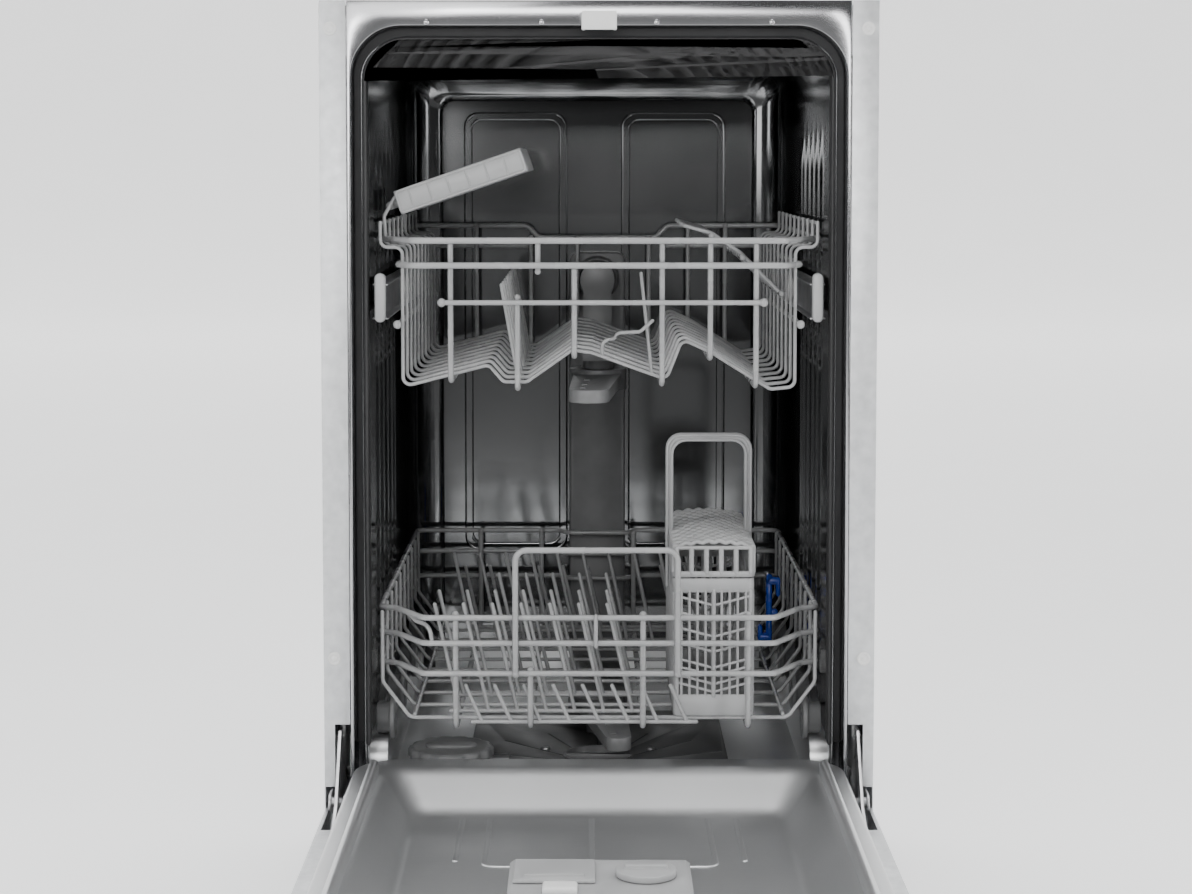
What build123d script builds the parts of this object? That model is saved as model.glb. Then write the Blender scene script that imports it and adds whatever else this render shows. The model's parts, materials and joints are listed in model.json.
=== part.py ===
from build123d import *
import os
from math import cos, hypot, radians, tan

os.makedirs("parts", exist_ok=True)

# Slim built-in dishwasher, standing on its feet with the door folded open.
# Millimetres. X runs to the right, Y from the front to the back, Z up from the floor.
# The parts are drawn with y = 0 at the front face of the cabinet's flanges, and save()
# moves the origin to the floor under the middle of the open machine.

# Clearances
move_gap = 0.3  # between pieces that move past each other
fit_gap = 0.05  # radial, between a pin and the bore that turns on it
seam = 0.5  # between fixed panels
bite = 0.6  # how far welded wires sink into each other
square_share = 0.886  # side of a square wire for each mm of the round wire's thickness

# Cabinet
cabinet_width = 448.0
cabinet_height = 815.0
cabinet_depth = 500.0
panel_sheet = 1.0
panel_bottom = 100.0
flange_width = 21.5
flange_bottom = 177.5
notch_top = 229.0
notch_width = 12.5
rear_flange_width = 15.0
cap_radius = 5.5
cap_sides = 8
cap_thickness = 1.5
cap_inset = 9.0
lower_cap_height = 283.5
upper_cap_drop = 22.5

# Collar round the tub's mouth
collar_strip = 2.6
collar_head = 20.0
channel_corner = 41.0
channel_depth = 34.0
collar_sheet = 1.0
collar_bottom = 165.0
tab_reach = 12.0
tab_count = 4
gasket_width = 11.9
gasket_corner = 32.0
gasket_bottom = 208.0
gasket_front = 24.0
lip_front = 14.0
lip_width = 3.5
sill_seal_bottom = 150.0
sill_seal_thickness = 3.5
striker_width = 28.0
striker_reach = 12.0
striker_drop = 9.0
striker_height = 15.0
striker_wall = 3.0

# Tub
tub_inset = 8.4
tub_drop = 12.0
tub_corner = 30.0
tub_setback = 16.0
tub_sheet = 1.0
wrap_bottom = 172.0
flute_width = 7.0
flute_height = 1.5
flute_places = (130.0, 172.0, 214.0, 256.0, 298.0)
flute_bottom = 225.0
flute_top = 545.0
bead_width = 5.0
bead_height = 1.5
back_panel_size = (100.0, 440.0)
back_panel_middle = (-82.0, 76.0)
back_panel_drop = 49.0
ceiling_bead_width = 60.0
ceiling_bead_places = (-105.0, 105.0)
ceiling_bead_ends = (80.0, 420.0)
floor_top = 165.0
floor_sheet = 2.0
ledge_width = 15.3
ledge_rise = 41.9
ledge_front = 39.0
ledge_setback = 14.0
ledge_round = 20.0
ledge_foot = 24.0
floor_lip_top = 172.0
floor_back_lip = 190.0

# Sump, filter and salt cap
well_y = 112.0
well_radius = 32.0
well_bottom = 96.0
sump_half = 75.0
sump_ends = (72.0, 300.0)
sump_bottom = 120.0
sump_wall = 3.0
filter_sheet = 2.5
filter_front_half = 78.0
filter_half = 113.0
filter_ends = (76.0, 312.0)
filter_shoulder = 152.0
filter_corner = 12.0
groove_width = 1.6
groove_depth = 0.8
groove_length = 78.0
groove_count = 9
groove_gap = 9.6
cup_radius = 30.6
cup_wall = 2.0
cup_rim_height = 9.0
cup_grip_width = 5.0
salt_y = 107.0
salt_radius = 37.0
salt_cap_bottom = 176.0
salt_cap_height = 9.0
salt_grip_halves = (28.0, 8.0)
salt_grip_height = 2.0
salt_neck_radius = 34.0
salt_bore_radius = 29.0
softener_ends = (57.0, 207.0)
softener_bottom = 114.0

# Spray arms
arm_hub_y = 235.0
arm_clearance = 5.7
lower_arm_bottom = 190.0
lower_arm_thickness = 11.0
lower_tip_radius = 11.0
lower_arm_angle = 6.0
upper_arm_bottom = 485.0
upper_arm_thickness = 11.0
upper_tip_radius = 17.0
upper_arm_angle = -3.0
arm_root_radius = 22.0
arm_hub_radius = 26.0
arm_hub_extra = 4.0
arm_stud_radius = 11.0
nozzle_side = 5.0
nozzle_height = 1.0
nozzle_insets = (20.0, 50.0, 90.0)

# Feed duct on the back wall
duct_half = 28.0
duct_thickness = 12.0
duct_head = 26.0
duct_foot_height = 15.0
port_height = 570.0
port_radius = 21.0
port_bore = 17.0
port_reach = 6.0

# Upper rails, rollers and rack travel
rail_front = 27.0
rail_setback = 14.0
rail_middle = 572.5
rail_height = 29.0
rail_clearance = 6.0
rail_width = 13.0
rail_web = 1.0
rail_flange = 1.2
rail_cap_insets = (1.5, 2.5)
rail_cap_height = 40.0
rail_cap_bottom = 556.0
rail_cap_depth = 9.0
wall_roller_places = (110.0, 240.0)
front_roller_y = 262.0
rear_roller_inset = 18.0
roller_pin_radius = 3.0

# Upper basket
basket_wire = 4.0
rim_wire = 5.5
upper_front = 4.0
upper_setback = 26.0
upper_rim_height = 623.0
upper_second_height = 603.0
upper_third_height = 573.0
upper_third_insets = (33.0, 27.0)
upper_side_gap = 31.0
upper_jog = 18.0
upper_jog_height = 617.0
upper_top_height = 637.0
upper_rim_reach = 22.0
upper_front_inset = 10.0
upper_diagonal_end = 62.0
second_rim_corner = (12.0, 22.0)
upper_side_wire_height = 555.0
cross_count = 10
cross_front = 26.0
cross_back_inset = 40.0
far = 900.0  # past every piece, for cuts
left_upright_insets = (40.0, 94.0)
middle_upright = -20.0
right_upright_insets = (109.0, 70.0, 33.0)
back_step_half = 70.0
back_step_drop = 12.0
left_profile = ((0.0, 503.0), (70.0, 521.0), (82.0, 507.0), (101.0, 507.0))
middle_profile = ((-22.0, 533.0), (-6.0, 531.0))
right_profile = ((105.0, 509.0), (92.0, 542.0), (68.0, 531.0), (20.0, 501.0), (0.0, 503.0))
upper_tine_height = 82.0
upper_tine_lean = 10.0
upper_tine_foot = 21.0
upper_wall_depth = 7.5
upper_tine_room = 18.0
carrier_height = 36.0
carrier_length = 30.0
carrier_sheet = 3.0
feed_pipe_middle = 514.5
feed_pipe_half = 14.0
feed_pipe_height = 12.0
riser_setback = 8.0
stud_nut_height = 3.0
stud_nut_rim = 4.0
stud_shoulder_rim = 3.0

# Cup shelf and wire shelf
shelf_pin_radius = 2.5
shelf_eye_half = 5.0
shelf_eye_width = 8.0
cup_hinge_inset = 5.0
cup_hinge_height = 650.0
cup_shelf_ends = (42.0, 250.0)
cup_shelf_length = 118.0
cup_shelf_sheet = 3.0
cup_shelf_edge = 17.0
cup_shelf_tilt = 19.0
cup_rib_insets = (12.0, 16.0)
cup_slot_insets = (14.0, 24.0)
cup_slot_width = 8.0
cup_slot_margin = 20.0
cup_hook = (9.0, 12.0)
cup_hook_half = 2.0
cup_rib_count = 6
cup_slot_count = 4
cup_eye_places = (70.0, 222.0)
glass_hinge_inset = 8.0
glass_hinge_height = 577.0
glass_shelf_ends = (78.0, 270.0)
glass_wire = 3.2
glass_wire_count = 9
glass_curve = ((-34.0, 34.0), (-58.0, 50.0), (-80.0, 56.0))

# Lower basket
lower_front = 5.0
lower_setback = 20.0
axle_drop = 7.5
rim_rises = (88.0, 67.0, 42.0)
shoulder_rise = 30.0
lower_side_gap = 9.5
lower_neck_inset = 14.5
lower_neck_depth = 46.0
lower_neck_run = 8.0
lower_front_inset = 38.5
lower_floor_inset = 25.5
lower_edge_inset = 4.0
axle_plate_half = 10.0
lower_cross_count = 10
lower_cross_front = 30.0
lower_cross_back_inset = 24.0
lower_upright_insets = (39.0, 34.0)
lower_inner_uprights = (-56.0, 36.0)
lower_wall_depth = 18.0
duct_bay_half = 36.0
duct_bay_depth = 16.0
duct_bay_run = 5.0
loop_ends = (-68.0, 64.0)
loop_rise = 56.0
loop_corner = 8.0
tine_wire = 4.0
tine_pitch = 24.0
tine_row_end = 8.0
tine_rows = (
    (14.0, -96.0, 8, 30.0, 24.0),
    (52.0, -116.0, 7, 90.0, 13.0),
    (112.0, -116.0, 7, 90.0, 13.0),
    (196.0, -68.0, 5, 90.0, 13.0),
    (410.0, -116.0, 10, 60.0, 13.0),
)
fold_y = 288.0
fold_rise = 9.0
fold_first = -116.0
fold_left_end = 20.0
fold_right_reach = 10.0
fold_count = 10
fold_height = 84.0
fold_lean = 12.0
fold_eye_length = 7.0
fold_eye_half = 5.0
clip_reach = 1.0
clip_height = 57.0
clip_thickness = 5.0
clip_half_depth = 4.0
clip_toe = (10.0, 16.0)

# Lower rack wheels
wheel_places = (62.0, 172.0, 302.0, 412.0)
wheel_tread_radius = 13.3
wheel_flange_radius = 17.9
wheel_clearance = 5.0
wheel_tread_width = 11.0
wheel_flange_width = 4.5
wheel_pin_radius = 4.0
wheel_cover = 2.0

# Cutlery basket
cutlery_inset = 28.0
cutlery_width = 67.0
cutlery_y = (26.0, 205.0)
cutlery_body_height = 115.0
cutlery_lid_height = 31.0
cutlery_wall = 1.8
cutlery_bars = 5
cutlery_long_bars = 8
body_windows = (20.0, 103.0)
lid_windows = (5.0, 24.0)
lid_long_bars = 6
bar_width = 3.5
lid_bar_width = 5.0
drain_half = 6.0
drain_count = 5
lid_slot_count = 7
handle_y = 115.0
handle_depth = 16.0
handle_rise = 110.0
handle_grip = 22.0
handle_thickness = 7.0
handle_overhang = 3.0
handle_groove = 2.0

# Door, drawn open: its length runs forward from the hinge
hinge_y = -15.0
hinge_z = 169.0
liner_gap = 1.0
liner_back = 20.0
liner_rim = 196.0
liner_floor = 167.0
liner_sheet = 2.0
recess_rim_inset = 22.4
recess_floor_inset = 49.4
recess_back_insets = (28.0, 71.0)
recess_front_insets = (28.0, 50.0)
recess_corners = (20.0, 12.0)
track_insets = (2.0, 1.0)
track_back = -24.0
track_ramp = 8.0
door_inset = 1.0
door_top = 160.0
door_bottom = 135.0
skin_sheet = 1.0
skin_flange = 33.0
panel_fixing_pitch_x = 300.0
panel_fixing_pitch_y = 400.0
panel_fixing_y = -330.0
panel_fixing_radius = 2.1
control_depth = 17.0
control_wall = 2.0
button_width = 16.0
button_height = 9.0
button_z = 172.0
button_places = (-150.0, 100.0, 150.0)
button_proud = 1.2
button_depth = 4.0
button_round = 0.8
window_depth = 0.6
window_half = 6.0
window_x = (40.0, 80.0)
lock_half = 32.0
lock_bottom = 150.0
lock_depth = 33.0
lock_side_gap = 3.0
tongue_half = 9.0
tongue_thickness = 4.0
tongue_length = 8.0
skin_notch_insets = (4.0, 21.0)
skin_notch_front = -64.0
door_bead_height = 1.5
door_bead_width = 4.0
door_bead_half = 84.0
door_bead_cross = -182.0

# Dispenser
dispenser_half = 66.0
dispenser_ends = (-191.0, -345.0)
dispenser_top = 175.0
dispenser_bottom = 142.0
dispenser_edge = 6.5
dispenser_bevel = 3.0
chamber_x = (-60.0, -6.0)
chamber_y = (-250.0, -204.0)
chamber_bottom = 147.0
lid_overlap = 2.5
lid_thickness = 3.0
lid_edge = 1.0
lid_grip_inset = 8.0
lid_grip_y = (6.0, 10.0)
lid_grip_height = 2.0
tab_x = (-41.0, -16.0)
tab_y = (-274.0, -256.0)
tab_height = 4.0
tab_edge = 1.5
tab_pocket_depth = 6.0
rinse_x = 33.0
rinse_y = -232.0
rinse_radius = 22.0
rinse_plug_radius = 19.0
rinse_height = 5.0
rinse_plug_depth = 14.0
rinse_grip = (15.4, 3.0)
rinse_grip_height = 3.0
dish_ends = (-318.0, -284.0)
dish_depth = 3.0
dish_margin = 9.0

# Hinge
arm_plate_insets = (14.2, 11.8)
hinge_pin_radius = 4.0
bracket_plate_insets = ((19.0, 17.0), (7.5, 5.5))
bracket_nose = 7.0
bracket_body = (37.0, 96.0)
bracket_foot = 110.0
bracket_foot_sheet = 2.0
bracket_top = 212.0
arm_tail = 130.0
arm_neck = 46.0
arm_margins = (4.0, 2.0)
arm_throat = (-22.0, 2.0)
arm_back = ((14.0, 4.0), (10.0, -9.0), (-12.0, -20.0))
arm_heel = 30.0
horn_height = 55.0
horn_front = 15.0
horn_back = 14.0
horn_tip = 12.0
horn_hole_inset = (5.0, 7.0)
spring_hook_radius = 1.6
spring_hook_hole = 2.6
spring_radius = 5.2
spring_coil_span = (0.36, 0.96)
spring_inset = 9.7
spring_end_y = 300.0
spring_end_z = 62.0

# Base
tray_front = 56.0
tray_setback = 19.0
tray_bottom = 30.0
tray_top = 112.0
tray_wall = 3.0
kick_y = 50.0
kick_sheet = 1.2
kick_z = (26.0, 105.0)
kick_lip = 4.0
post_side = 16.0
post_inset = 63.0
post_places = ((-1, 250.0), (1, 120.0), (-1, 430.0), (1, 430.0))
pad_inset = 24.0
pad_back = 100.0
kick_clip_x = 150.0
kick_clip_z = (60.0, 84.0)
kick_clip_half = 12.0
foot_radius = 18.0
foot_height = 8.0
foot_stem_radius = 6.0
foot_stem_top = 92.0
foot_boss_half = 11.0
foot_nut_radius = 9.0
foot_nut_height = 8.0
front_foot_inset = 33.0
front_foot_y = 84.0
rear_foot_inset = 29.0
pump_radius = 40.0
pump_length = 95.0
volute_length = 20.0
volute_rim = 6.0
pump_neck_half = 14.0
pump_cradle_half = 20.0
pump_cradle_insets = (10.0, 10.0)
pump_x = 20.0
pump_z = 88.0
drain_pump_radius = 24.0
drain_pump_length = 50.0
drain_neck_length = 14.0
drain_neck_rise = 12.0
drain_neck_radius = 9.6
drain_foot_half = 10.0
drain_pump_z = 82.0
inlet_x = 110.0
inlet_z = 76.0
inlet_radius = 13.2
inlet_length = 14.0
inlet_neck_radius = 11.5
inlet_bore = 9.0
inlet_body = 34.0
inlet_depth = 30.0
inlet_coil_half = 11.0
inlet_leg_half = 8.0
drain_x = -60.0
drain_radius = 9.5
drain_length = 15.0
drain_body = 30.0
box_inset = 33.0
box_width = 70.0
box_z = (50.0, 96.0)
box_depth = 40.0
gland_radius = 10.0
gland_length = 12.0
box_leg_inset = 10.0
box_leg_y = (4.0, 20.0)
air_break_y = (70.0, 330.0)
air_break_z = (250.0, 620.0)
air_break_gap = 7.0
air_break_rib = 3.0
air_break_corner = 15.0
air_rib_depth = 2.0
air_rib_insets = (20.0, 50.0)
air_rib_count = 5
air_stub = (30.0, 14.0, 7.0)

# Places that follow from the sizes above
cabinet_half = cabinet_width / 2
panel_inside = cabinet_half - panel_sheet
cap_heights = (lower_cap_height, cabinet_height - upper_cap_drop)
collar_half = cabinet_half - flange_width - seam
channel_half = collar_half - collar_strip
channel_top = cabinet_height - collar_head
gasket_half = channel_half - gasket_width
striker_top = cabinet_height - striker_drop
tub_half = channel_half - tub_inset
tub_top = channel_top - tub_drop
tub_back = cabinet_depth - tub_setback
back_panel_top = tub_top - back_panel_drop

ledge_inner = tub_half - ledge_width
ledge_top = floor_top + ledge_rise
ledge_back = tub_back - ledge_setback
sump_rim_half = sump_half + sump_wall
salt_x = -(ledge_inner + sump_rim_half) / 2
filter_top = floor_top + filter_sheet
arm_reach = ledge_inner - arm_clearance
duct_top = port_height + duct_head
duct_front = tub_back - floor_sheet - duct_thickness

rail_ends = (rail_front, tub_back - rail_setback)
rail_outer = tub_half - rail_clearance
rail_inner = rail_outer - rail_width
rail_cap_inner = rail_inner + rail_cap_insets[0]
rail_cap_outer = rail_outer - rail_cap_insets[1]
roller_radius = rail_height / 2 - rail_flange - move_gap
web_inner = (rail_inner + rail_outer - rail_web) / 2
web_outer = web_inner + rail_web

upper_back = tub_back - upper_setback
rack_roller_places = (front_roller_y, upper_back - rear_roller_inset)
cross_ends = (cross_front, upper_back - cross_back_inset)
upper_side_half = tub_half - upper_side_gap
upper_jog_half = upper_side_half + upper_jog
upper_rim_half = upper_side_half + upper_rim_reach
upper_front_half = upper_side_half - upper_front_inset
upper_third_ends = (
    upper_third_insets[0] - upper_side_half,
    upper_side_half - upper_third_insets[1],
)
upright_places = (
    [inset - upper_side_half for inset in left_upright_insets]
    + [middle_upright]
    + [upper_side_half - inset for inset in right_upright_insets]
)
upper_tine_x = upright_places[1]
cross_profile = (
    [(inset - upper_side_half, z) for inset, z in left_profile]
    + list(middle_profile)
    + [(upper_side_half - inset, z) for inset, z in right_profile]
)
cup_hinge = (cup_hinge_inset - upper_jog_half, cup_hinge_height)
glass_hinge = (upper_side_half - glass_hinge_inset, glass_hinge_height)

wheel_height = ledge_top + move_gap + wheel_tread_radius
wheel_outer = tub_half - wheel_clearance
wheel_step = wheel_outer - wheel_tread_width
wheel_inner = wheel_step - wheel_flange_width
lower_back = tub_back - lower_setback
lower_floor_height = wheel_height + axle_drop
lower_rims = [lower_floor_height + rise for rise in rim_rises]
lower_shoulder_height = lower_floor_height + shoulder_rise
lower_side_half = tub_half - lower_side_gap
lower_neck_half = lower_side_half - lower_neck_inset
lower_front_half = lower_side_half - lower_front_inset
lower_floor_half = lower_side_half - lower_floor_inset
lower_edge_half = lower_floor_half - lower_edge_inset
lower_cross_ends = (lower_cross_front, lower_back - lower_cross_back_inset)
lower_uprights = (
    lower_upright_insets[0] - lower_floor_half,
    *lower_inner_uprights,
    lower_floor_half - lower_upright_insets[1],
)
loop_top = lower_rims[0] + loop_rise
fold_height_z = lower_floor_height + fold_rise
fold_ends = (fold_first - fold_left_end, lower_floor_half + fold_right_reach)
clip_x = lower_floor_half + clip_reach

cutlery_x = (lower_floor_half - cutlery_inset - cutlery_width, lower_floor_half - cutlery_inset)
cutlery_bottom = lower_floor_height + basket_wire * square_share / 2 + move_gap
cutlery_seam = cutlery_bottom + cutlery_body_height
cutlery_top = cutlery_seam + cutlery_lid_height
handle_top = cutlery_seam + handle_rise

liner_half = channel_half - liner_gap
liner_front = hinge_y + hinge_z - channel_top + liner_gap
liner_corner = channel_corner - liner_gap
recess_rim_half = liner_half - recess_rim_inset
recess_floor_half = liner_half - recess_floor_inset
recess_rim_ends = (liner_back - recess_back_insets[0], liner_front + recess_front_insets[0])
recess_floor_ends = (liner_back - recess_back_insets[1], liner_front + recess_front_insets[1])
track_inner = wheel_step + track_insets[0]
track_outer = wheel_outer - track_insets[1]
track_ends = (track_back, hinge_y + hinge_z - rail_cap_bottom + 2 * seam)
door_half = cabinet_half - door_inset
door_front = liner_front - move_gap - control_depth
closed_plane = hinge_z - hinge_y
control_top = closed_plane - cap_thickness - 2 * move_gap
middle_y = (cabinet_depth + door_front - button_proud) / 2

arm_plate_x = [cabinet_half - inset for inset in arm_plate_insets]
bracket_plates = [[cabinet_half - inset for inset in pair] for pair in bracket_plate_insets]
spring_x = cabinet_half - spring_inset
tray_half = panel_inside
tray_ends = (tray_front, cabinet_depth - tray_setback)
front_foot_x = tray_half - front_foot_inset
rear_foot_y = tray_ends[1] - rear_foot_inset
post_x = tray_half - post_inset
box_x = (box_inset - tray_half, box_inset + box_width - tray_half)
air_break_x = (-panel_inside, -tub_half - air_break_gap)


# A box between the low and high ends of x, y and z.
def block(x, y, z):
    middle = [(ends[0] + ends[1]) / 2 for ends in (x, y, z)]
    size = [abs(ends[1] - ends[0]) for ends in (x, y, z)]
    return Pos(*middle) * Box(*size)


# Round bars along X, Y and Z.
def bar_x(x, y, z, radius):
    return Pos((x[0] + x[1]) / 2, y, z) * Rot(0, 90, 0) * Cylinder(radius, x[1] - x[0])


def bar_y(x, y, z, radius):
    return Pos(x, (y[0] + y[1]) / 2, z) * Rot(90, 0, 0) * Cylinder(radius, y[1] - y[0])


def bar_z(x, y, z, radius):
    return Pos(x, y, (z[0] + z[1]) / 2) * Cylinder(radius, z[1] - z[0])


# A face drawn in X and Z, pushed back from front to back.
def slab(face, front, back):
    return Pos(0, front, 0) * extrude(Plane.XZ * face, amount=back - front, dir=(0, 1, 0))


# A face drawn in Y and Z, pushed sideways from left to right.
def plate(face, left, right):
    return Pos(left, 0, 0) * extrude(Plane.YZ * face, amount=right - left, dir=(1, 0, 0))


def mirrored(shape):
    return shape.mirror(Plane.YZ)


# Pieces that are moulded or welded into one.
def join(pieces):
    return pieces[0] + pieces[1:]


# A round-cornered arch, open at its foot, drawn in X and Z.
def arch(half, low, top, corner):
    outline = Pos(0, (low + top) / 2) * Rectangle(2 * half, top - low)
    return fillet(outline.vertices().group_by(Axis.Y)[-1], corner)


# Welded wire along points, a square prism that is mitred at its bends.
def wire(points, thickness):
    start = Vector(*points[0])
    along = Vector(*points[1]) - start
    across = Vector(0, 0, 1) if abs(along.normalized().Z) < 0.9 else Vector(0, 1, 0)
    side = thickness * square_share
    plane = Plane(origin=start, x_dir=across.cross(along), z_dir=along)
    return sweep(plane * Rectangle(side, side), path=Polyline(*points), transition=Transition.RIGHT)


# Distance between the middles of two crossing wires that only rest on each other.
def resting(first, second):
    return (first + second) / 2 * square_share


# The same for two wires that are welded together.
def touching(first, second):
    return resting(first, second) - bite


# A welded basket cut into its flat sides, which meet face to face, so that each side collides
# as a flat grille and the room between them stays open.
def cut_apart(basket, regions):
    return [basket & region for region in regions]


# Evenly spaced places from the first to the last.
def spaced(ends, count):
    step = (ends[1] - ends[0]) / (count - 1)
    return [ends[0] + step * n for n in range(count)]


def save(name, *pieces):
    solids = [solid for piece in pieces for solid in (Pos(0, -middle_y, 0) * piece).solids()]
    export_step(solids[0] if len(solids) == 1 else Compound(solids), f"parts/{name}.step")


# Cabinet: side panels with their flanges

def side_panel():
    sheet = block((panel_inside, cabinet_half), (0, cabinet_depth), (panel_bottom, cabinet_height))
    inner = cabinet_half - flange_width
    front = block((inner, panel_inside), (0, panel_sheet), (flange_bottom, cabinet_height))
    notch = block((inner, inner + notch_width), (0, panel_sheet), (flange_bottom, notch_top))
    top = block(
        (panel_inside - rear_flange_width, panel_inside),
        (panel_sheet, cabinet_depth),
        (cabinet_height - panel_sheet, cabinet_height),
    )
    rear = block(
        (panel_inside - rear_flange_width, panel_inside),
        (cabinet_depth - panel_sheet, cabinet_depth),
        (panel_bottom, cabinet_height - panel_sheet),
    )
    return join([sheet, front - notch, top, rear])


def flange_caps():
    x = cabinet_half - cap_inset
    caps = [
        slab(Pos(x, z) * RegularPolygon(cap_radius, cap_sides), -cap_thickness, 0) for z in cap_heights
    ]
    return caps + [mirrored(cap) for cap in caps]


# Collar: front frame with the channel that holds the gasket

def collar():
    frame = Pos(0, (collar_bottom + cabinet_height) / 2) * Rectangle(
        2 * collar_half, cabinet_height - collar_bottom
    )
    opening = arch(channel_half, collar_bottom, channel_top, channel_corner)
    outer = arch(
        channel_half + collar_sheet,
        collar_bottom,
        channel_top + collar_sheet,
        channel_corner + collar_sheet,
    )
    mouth = arch(tub_half, collar_bottom, tub_top, tub_corner)
    front = slab(frame - opening, 0, collar_sheet)
    wall = slab(outer - opening, collar_sheet, channel_depth)
    back = slab(outer - mouth, channel_depth, channel_depth + collar_sheet)
    behind = (collar_sheet, 2 * collar_sheet)
    tabs = [
        block((collar_half, collar_half + seam + tab_reach), behind, (z, z + 2 * tab_reach))
        for z in spaced((notch_top + tab_reach, channel_top - 4 * tab_reach), tab_count)
    ]
    tabs.append(block((channel_half, collar_half), behind, (notch_top, channel_top)))
    return join([front, wall, back] + tabs + [mirrored(tab) for tab in tabs])


def gasket():
    outer = arch(channel_half, gasket_bottom, channel_top, channel_corner)
    inner_top = channel_top - (channel_half - gasket_half)
    inner = arch(gasket_half, gasket_bottom, inner_top, gasket_corner)
    lip = arch(
        gasket_half + lip_width, gasket_bottom, inner_top + lip_width, gasket_corner + lip_width
    )
    base = slab(outer - inner, gasket_front, channel_depth)
    return base + slab(lip - inner, lip_front, gasket_front)


def sill_seal():
    front = channel_depth - sill_seal_thickness
    return block(
        (-gasket_half, gasket_half), (front, channel_depth), (sill_seal_bottom, floor_lip_top)
    )


def striker():
    x = (-striker_width / 2, striker_width / 2)
    low = striker_top - striker_height
    body = block(x, (-striker_reach, 0), (low, striker_top))
    slot = block(
        (x[0] + striker_wall, x[1] - striker_wall),
        (-striker_reach + striker_wall, 0),
        (low, striker_top - striker_wall),
    )
    return body - slot


# Tub: wrap, back wall and floor

def tub_wrap():
    front = channel_depth + collar_sheet
    outer = arch(tub_half + tub_sheet, wrap_bottom, tub_top + tub_sheet, tub_corner + tub_sheet)
    inner = arch(tub_half, wrap_bottom, tub_top, tub_corner)
    shell = slab(outer - inner, front, tub_back)
    ribs = [
        block(
            (tub_half - flute_height, tub_half),
            (y - flute_width / 2, y + flute_width / 2),
            (flute_bottom, flute_top),
        )
        for y in flute_places
    ]
    for y in wall_roller_places:
        ribs.append(bar_x((web_outer + move_gap, tub_half), y, rail_middle, roller_pin_radius))
        ribs.append(
            block(
                (rail_outer + move_gap, tub_half),
                (y - 2 * roller_pin_radius, y + 2 * roller_pin_radius),
                (rail_middle - 2 * roller_pin_radius, rail_middle + 2 * roller_pin_radius),
            )
        )
    beads = []
    for x in ceiling_bead_places:
        wide = (x - ceiling_bead_width / 2, x + ceiling_bead_width / 2)
        bead = block(wide, ceiling_bead_ends, (tub_top - bead_height, tub_top))
        beads.append(chamfer(bead.edges().filter_by(Axis.Y).group_by(Axis.Z)[0], bead_height * 0.8))
    return join([shell] + beads + ribs + [mirrored(rib) for rib in ribs])


def tub_back_wall():
    wall = slab(
        arch(tub_half + tub_sheet, wrap_bottom, tub_top + tub_sheet, tub_corner + tub_sheet),
        tub_back,
        tub_back + tub_sheet,
    )
    width, height = back_panel_size
    middle = back_panel_top - height / 2
    beads = []
    for x in back_panel_middle:
        outline = Rectangle(width, height)
        outline = chamfer(outline.vertices(), 2 * bead_width)
        hole = Rectangle(width - 2 * bead_width, height - 2 * bead_width)
        hole = chamfer(hole.vertices(), bead_width)
        beads.append(slab(Pos(x, middle) * (outline - hole), tub_back - bead_height, tub_back))
    return join([wall] + beads)


def tub_floor():
    low = floor_top - floor_sheet
    pan = block((-tub_half, tub_half), (channel_depth, tub_back), (low, floor_top))
    front_lip = block(
        (-ledge_inner, ledge_inner),
        (channel_depth, channel_depth + floor_sheet),
        (sill_seal_bottom, floor_lip_top),
    )
    back_lip = block(
        (-tub_half, tub_half), (tub_back - floor_sheet, tub_back), (low, floor_back_lip)
    )
    ledge = block((ledge_inner, tub_half), (ledge_front, ledge_back), (low, ledge_top))
    ledge = fillet(ledge.edges().filter_by(Axis.X).group_by(Axis.Z)[-1], ledge_round)
    hollow = block(
        (ledge_inner + floor_sheet, tub_half - floor_sheet),
        (ledge_front + ledge_foot, ledge_back - ledge_foot),
        (low, ledge_top - floor_sheet),
    )
    holes = [
        hollow,
        mirrored(hollow),
        block((-sump_half, sump_half), sump_ends, (low, floor_top)),
        bar_z(salt_x, salt_y, (low, floor_top), salt_neck_radius + seam),
    ]
    return join([pan, front_lip, back_lip, ledge, mirrored(ledge)]) - holes


# Sump, filters, softener

def sump():
    top = floor_top - floor_sheet
    rim = block(
        (-sump_rim_half, sump_rim_half),
        (sump_ends[0] - sump_wall, sump_ends[1] + sump_wall),
        (top - sump_wall, top),
    )
    bowl = block((-sump_half, sump_half), sump_ends, (sump_bottom, top - sump_wall))
    inside = block(
        (-sump_half + sump_wall, sump_half - sump_wall),
        (sump_ends[0] + sump_wall, sump_ends[1] - sump_wall),
        (sump_bottom + sump_wall, top),
    )
    well = bar_z(0, well_y, (well_bottom, sump_bottom + sump_wall), well_radius + sump_wall)
    bore = bar_z(0, well_y, (well_bottom + sump_wall, sump_bottom + sump_wall), well_radius)
    stud_top = lower_arm_bottom + lower_arm_thickness - 1.0
    stud = bar_z(0, arm_hub_y, (sump_bottom, stud_top), arm_stud_radius)
    return join([rim, bowl]) - inside + well - bore + stud


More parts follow.
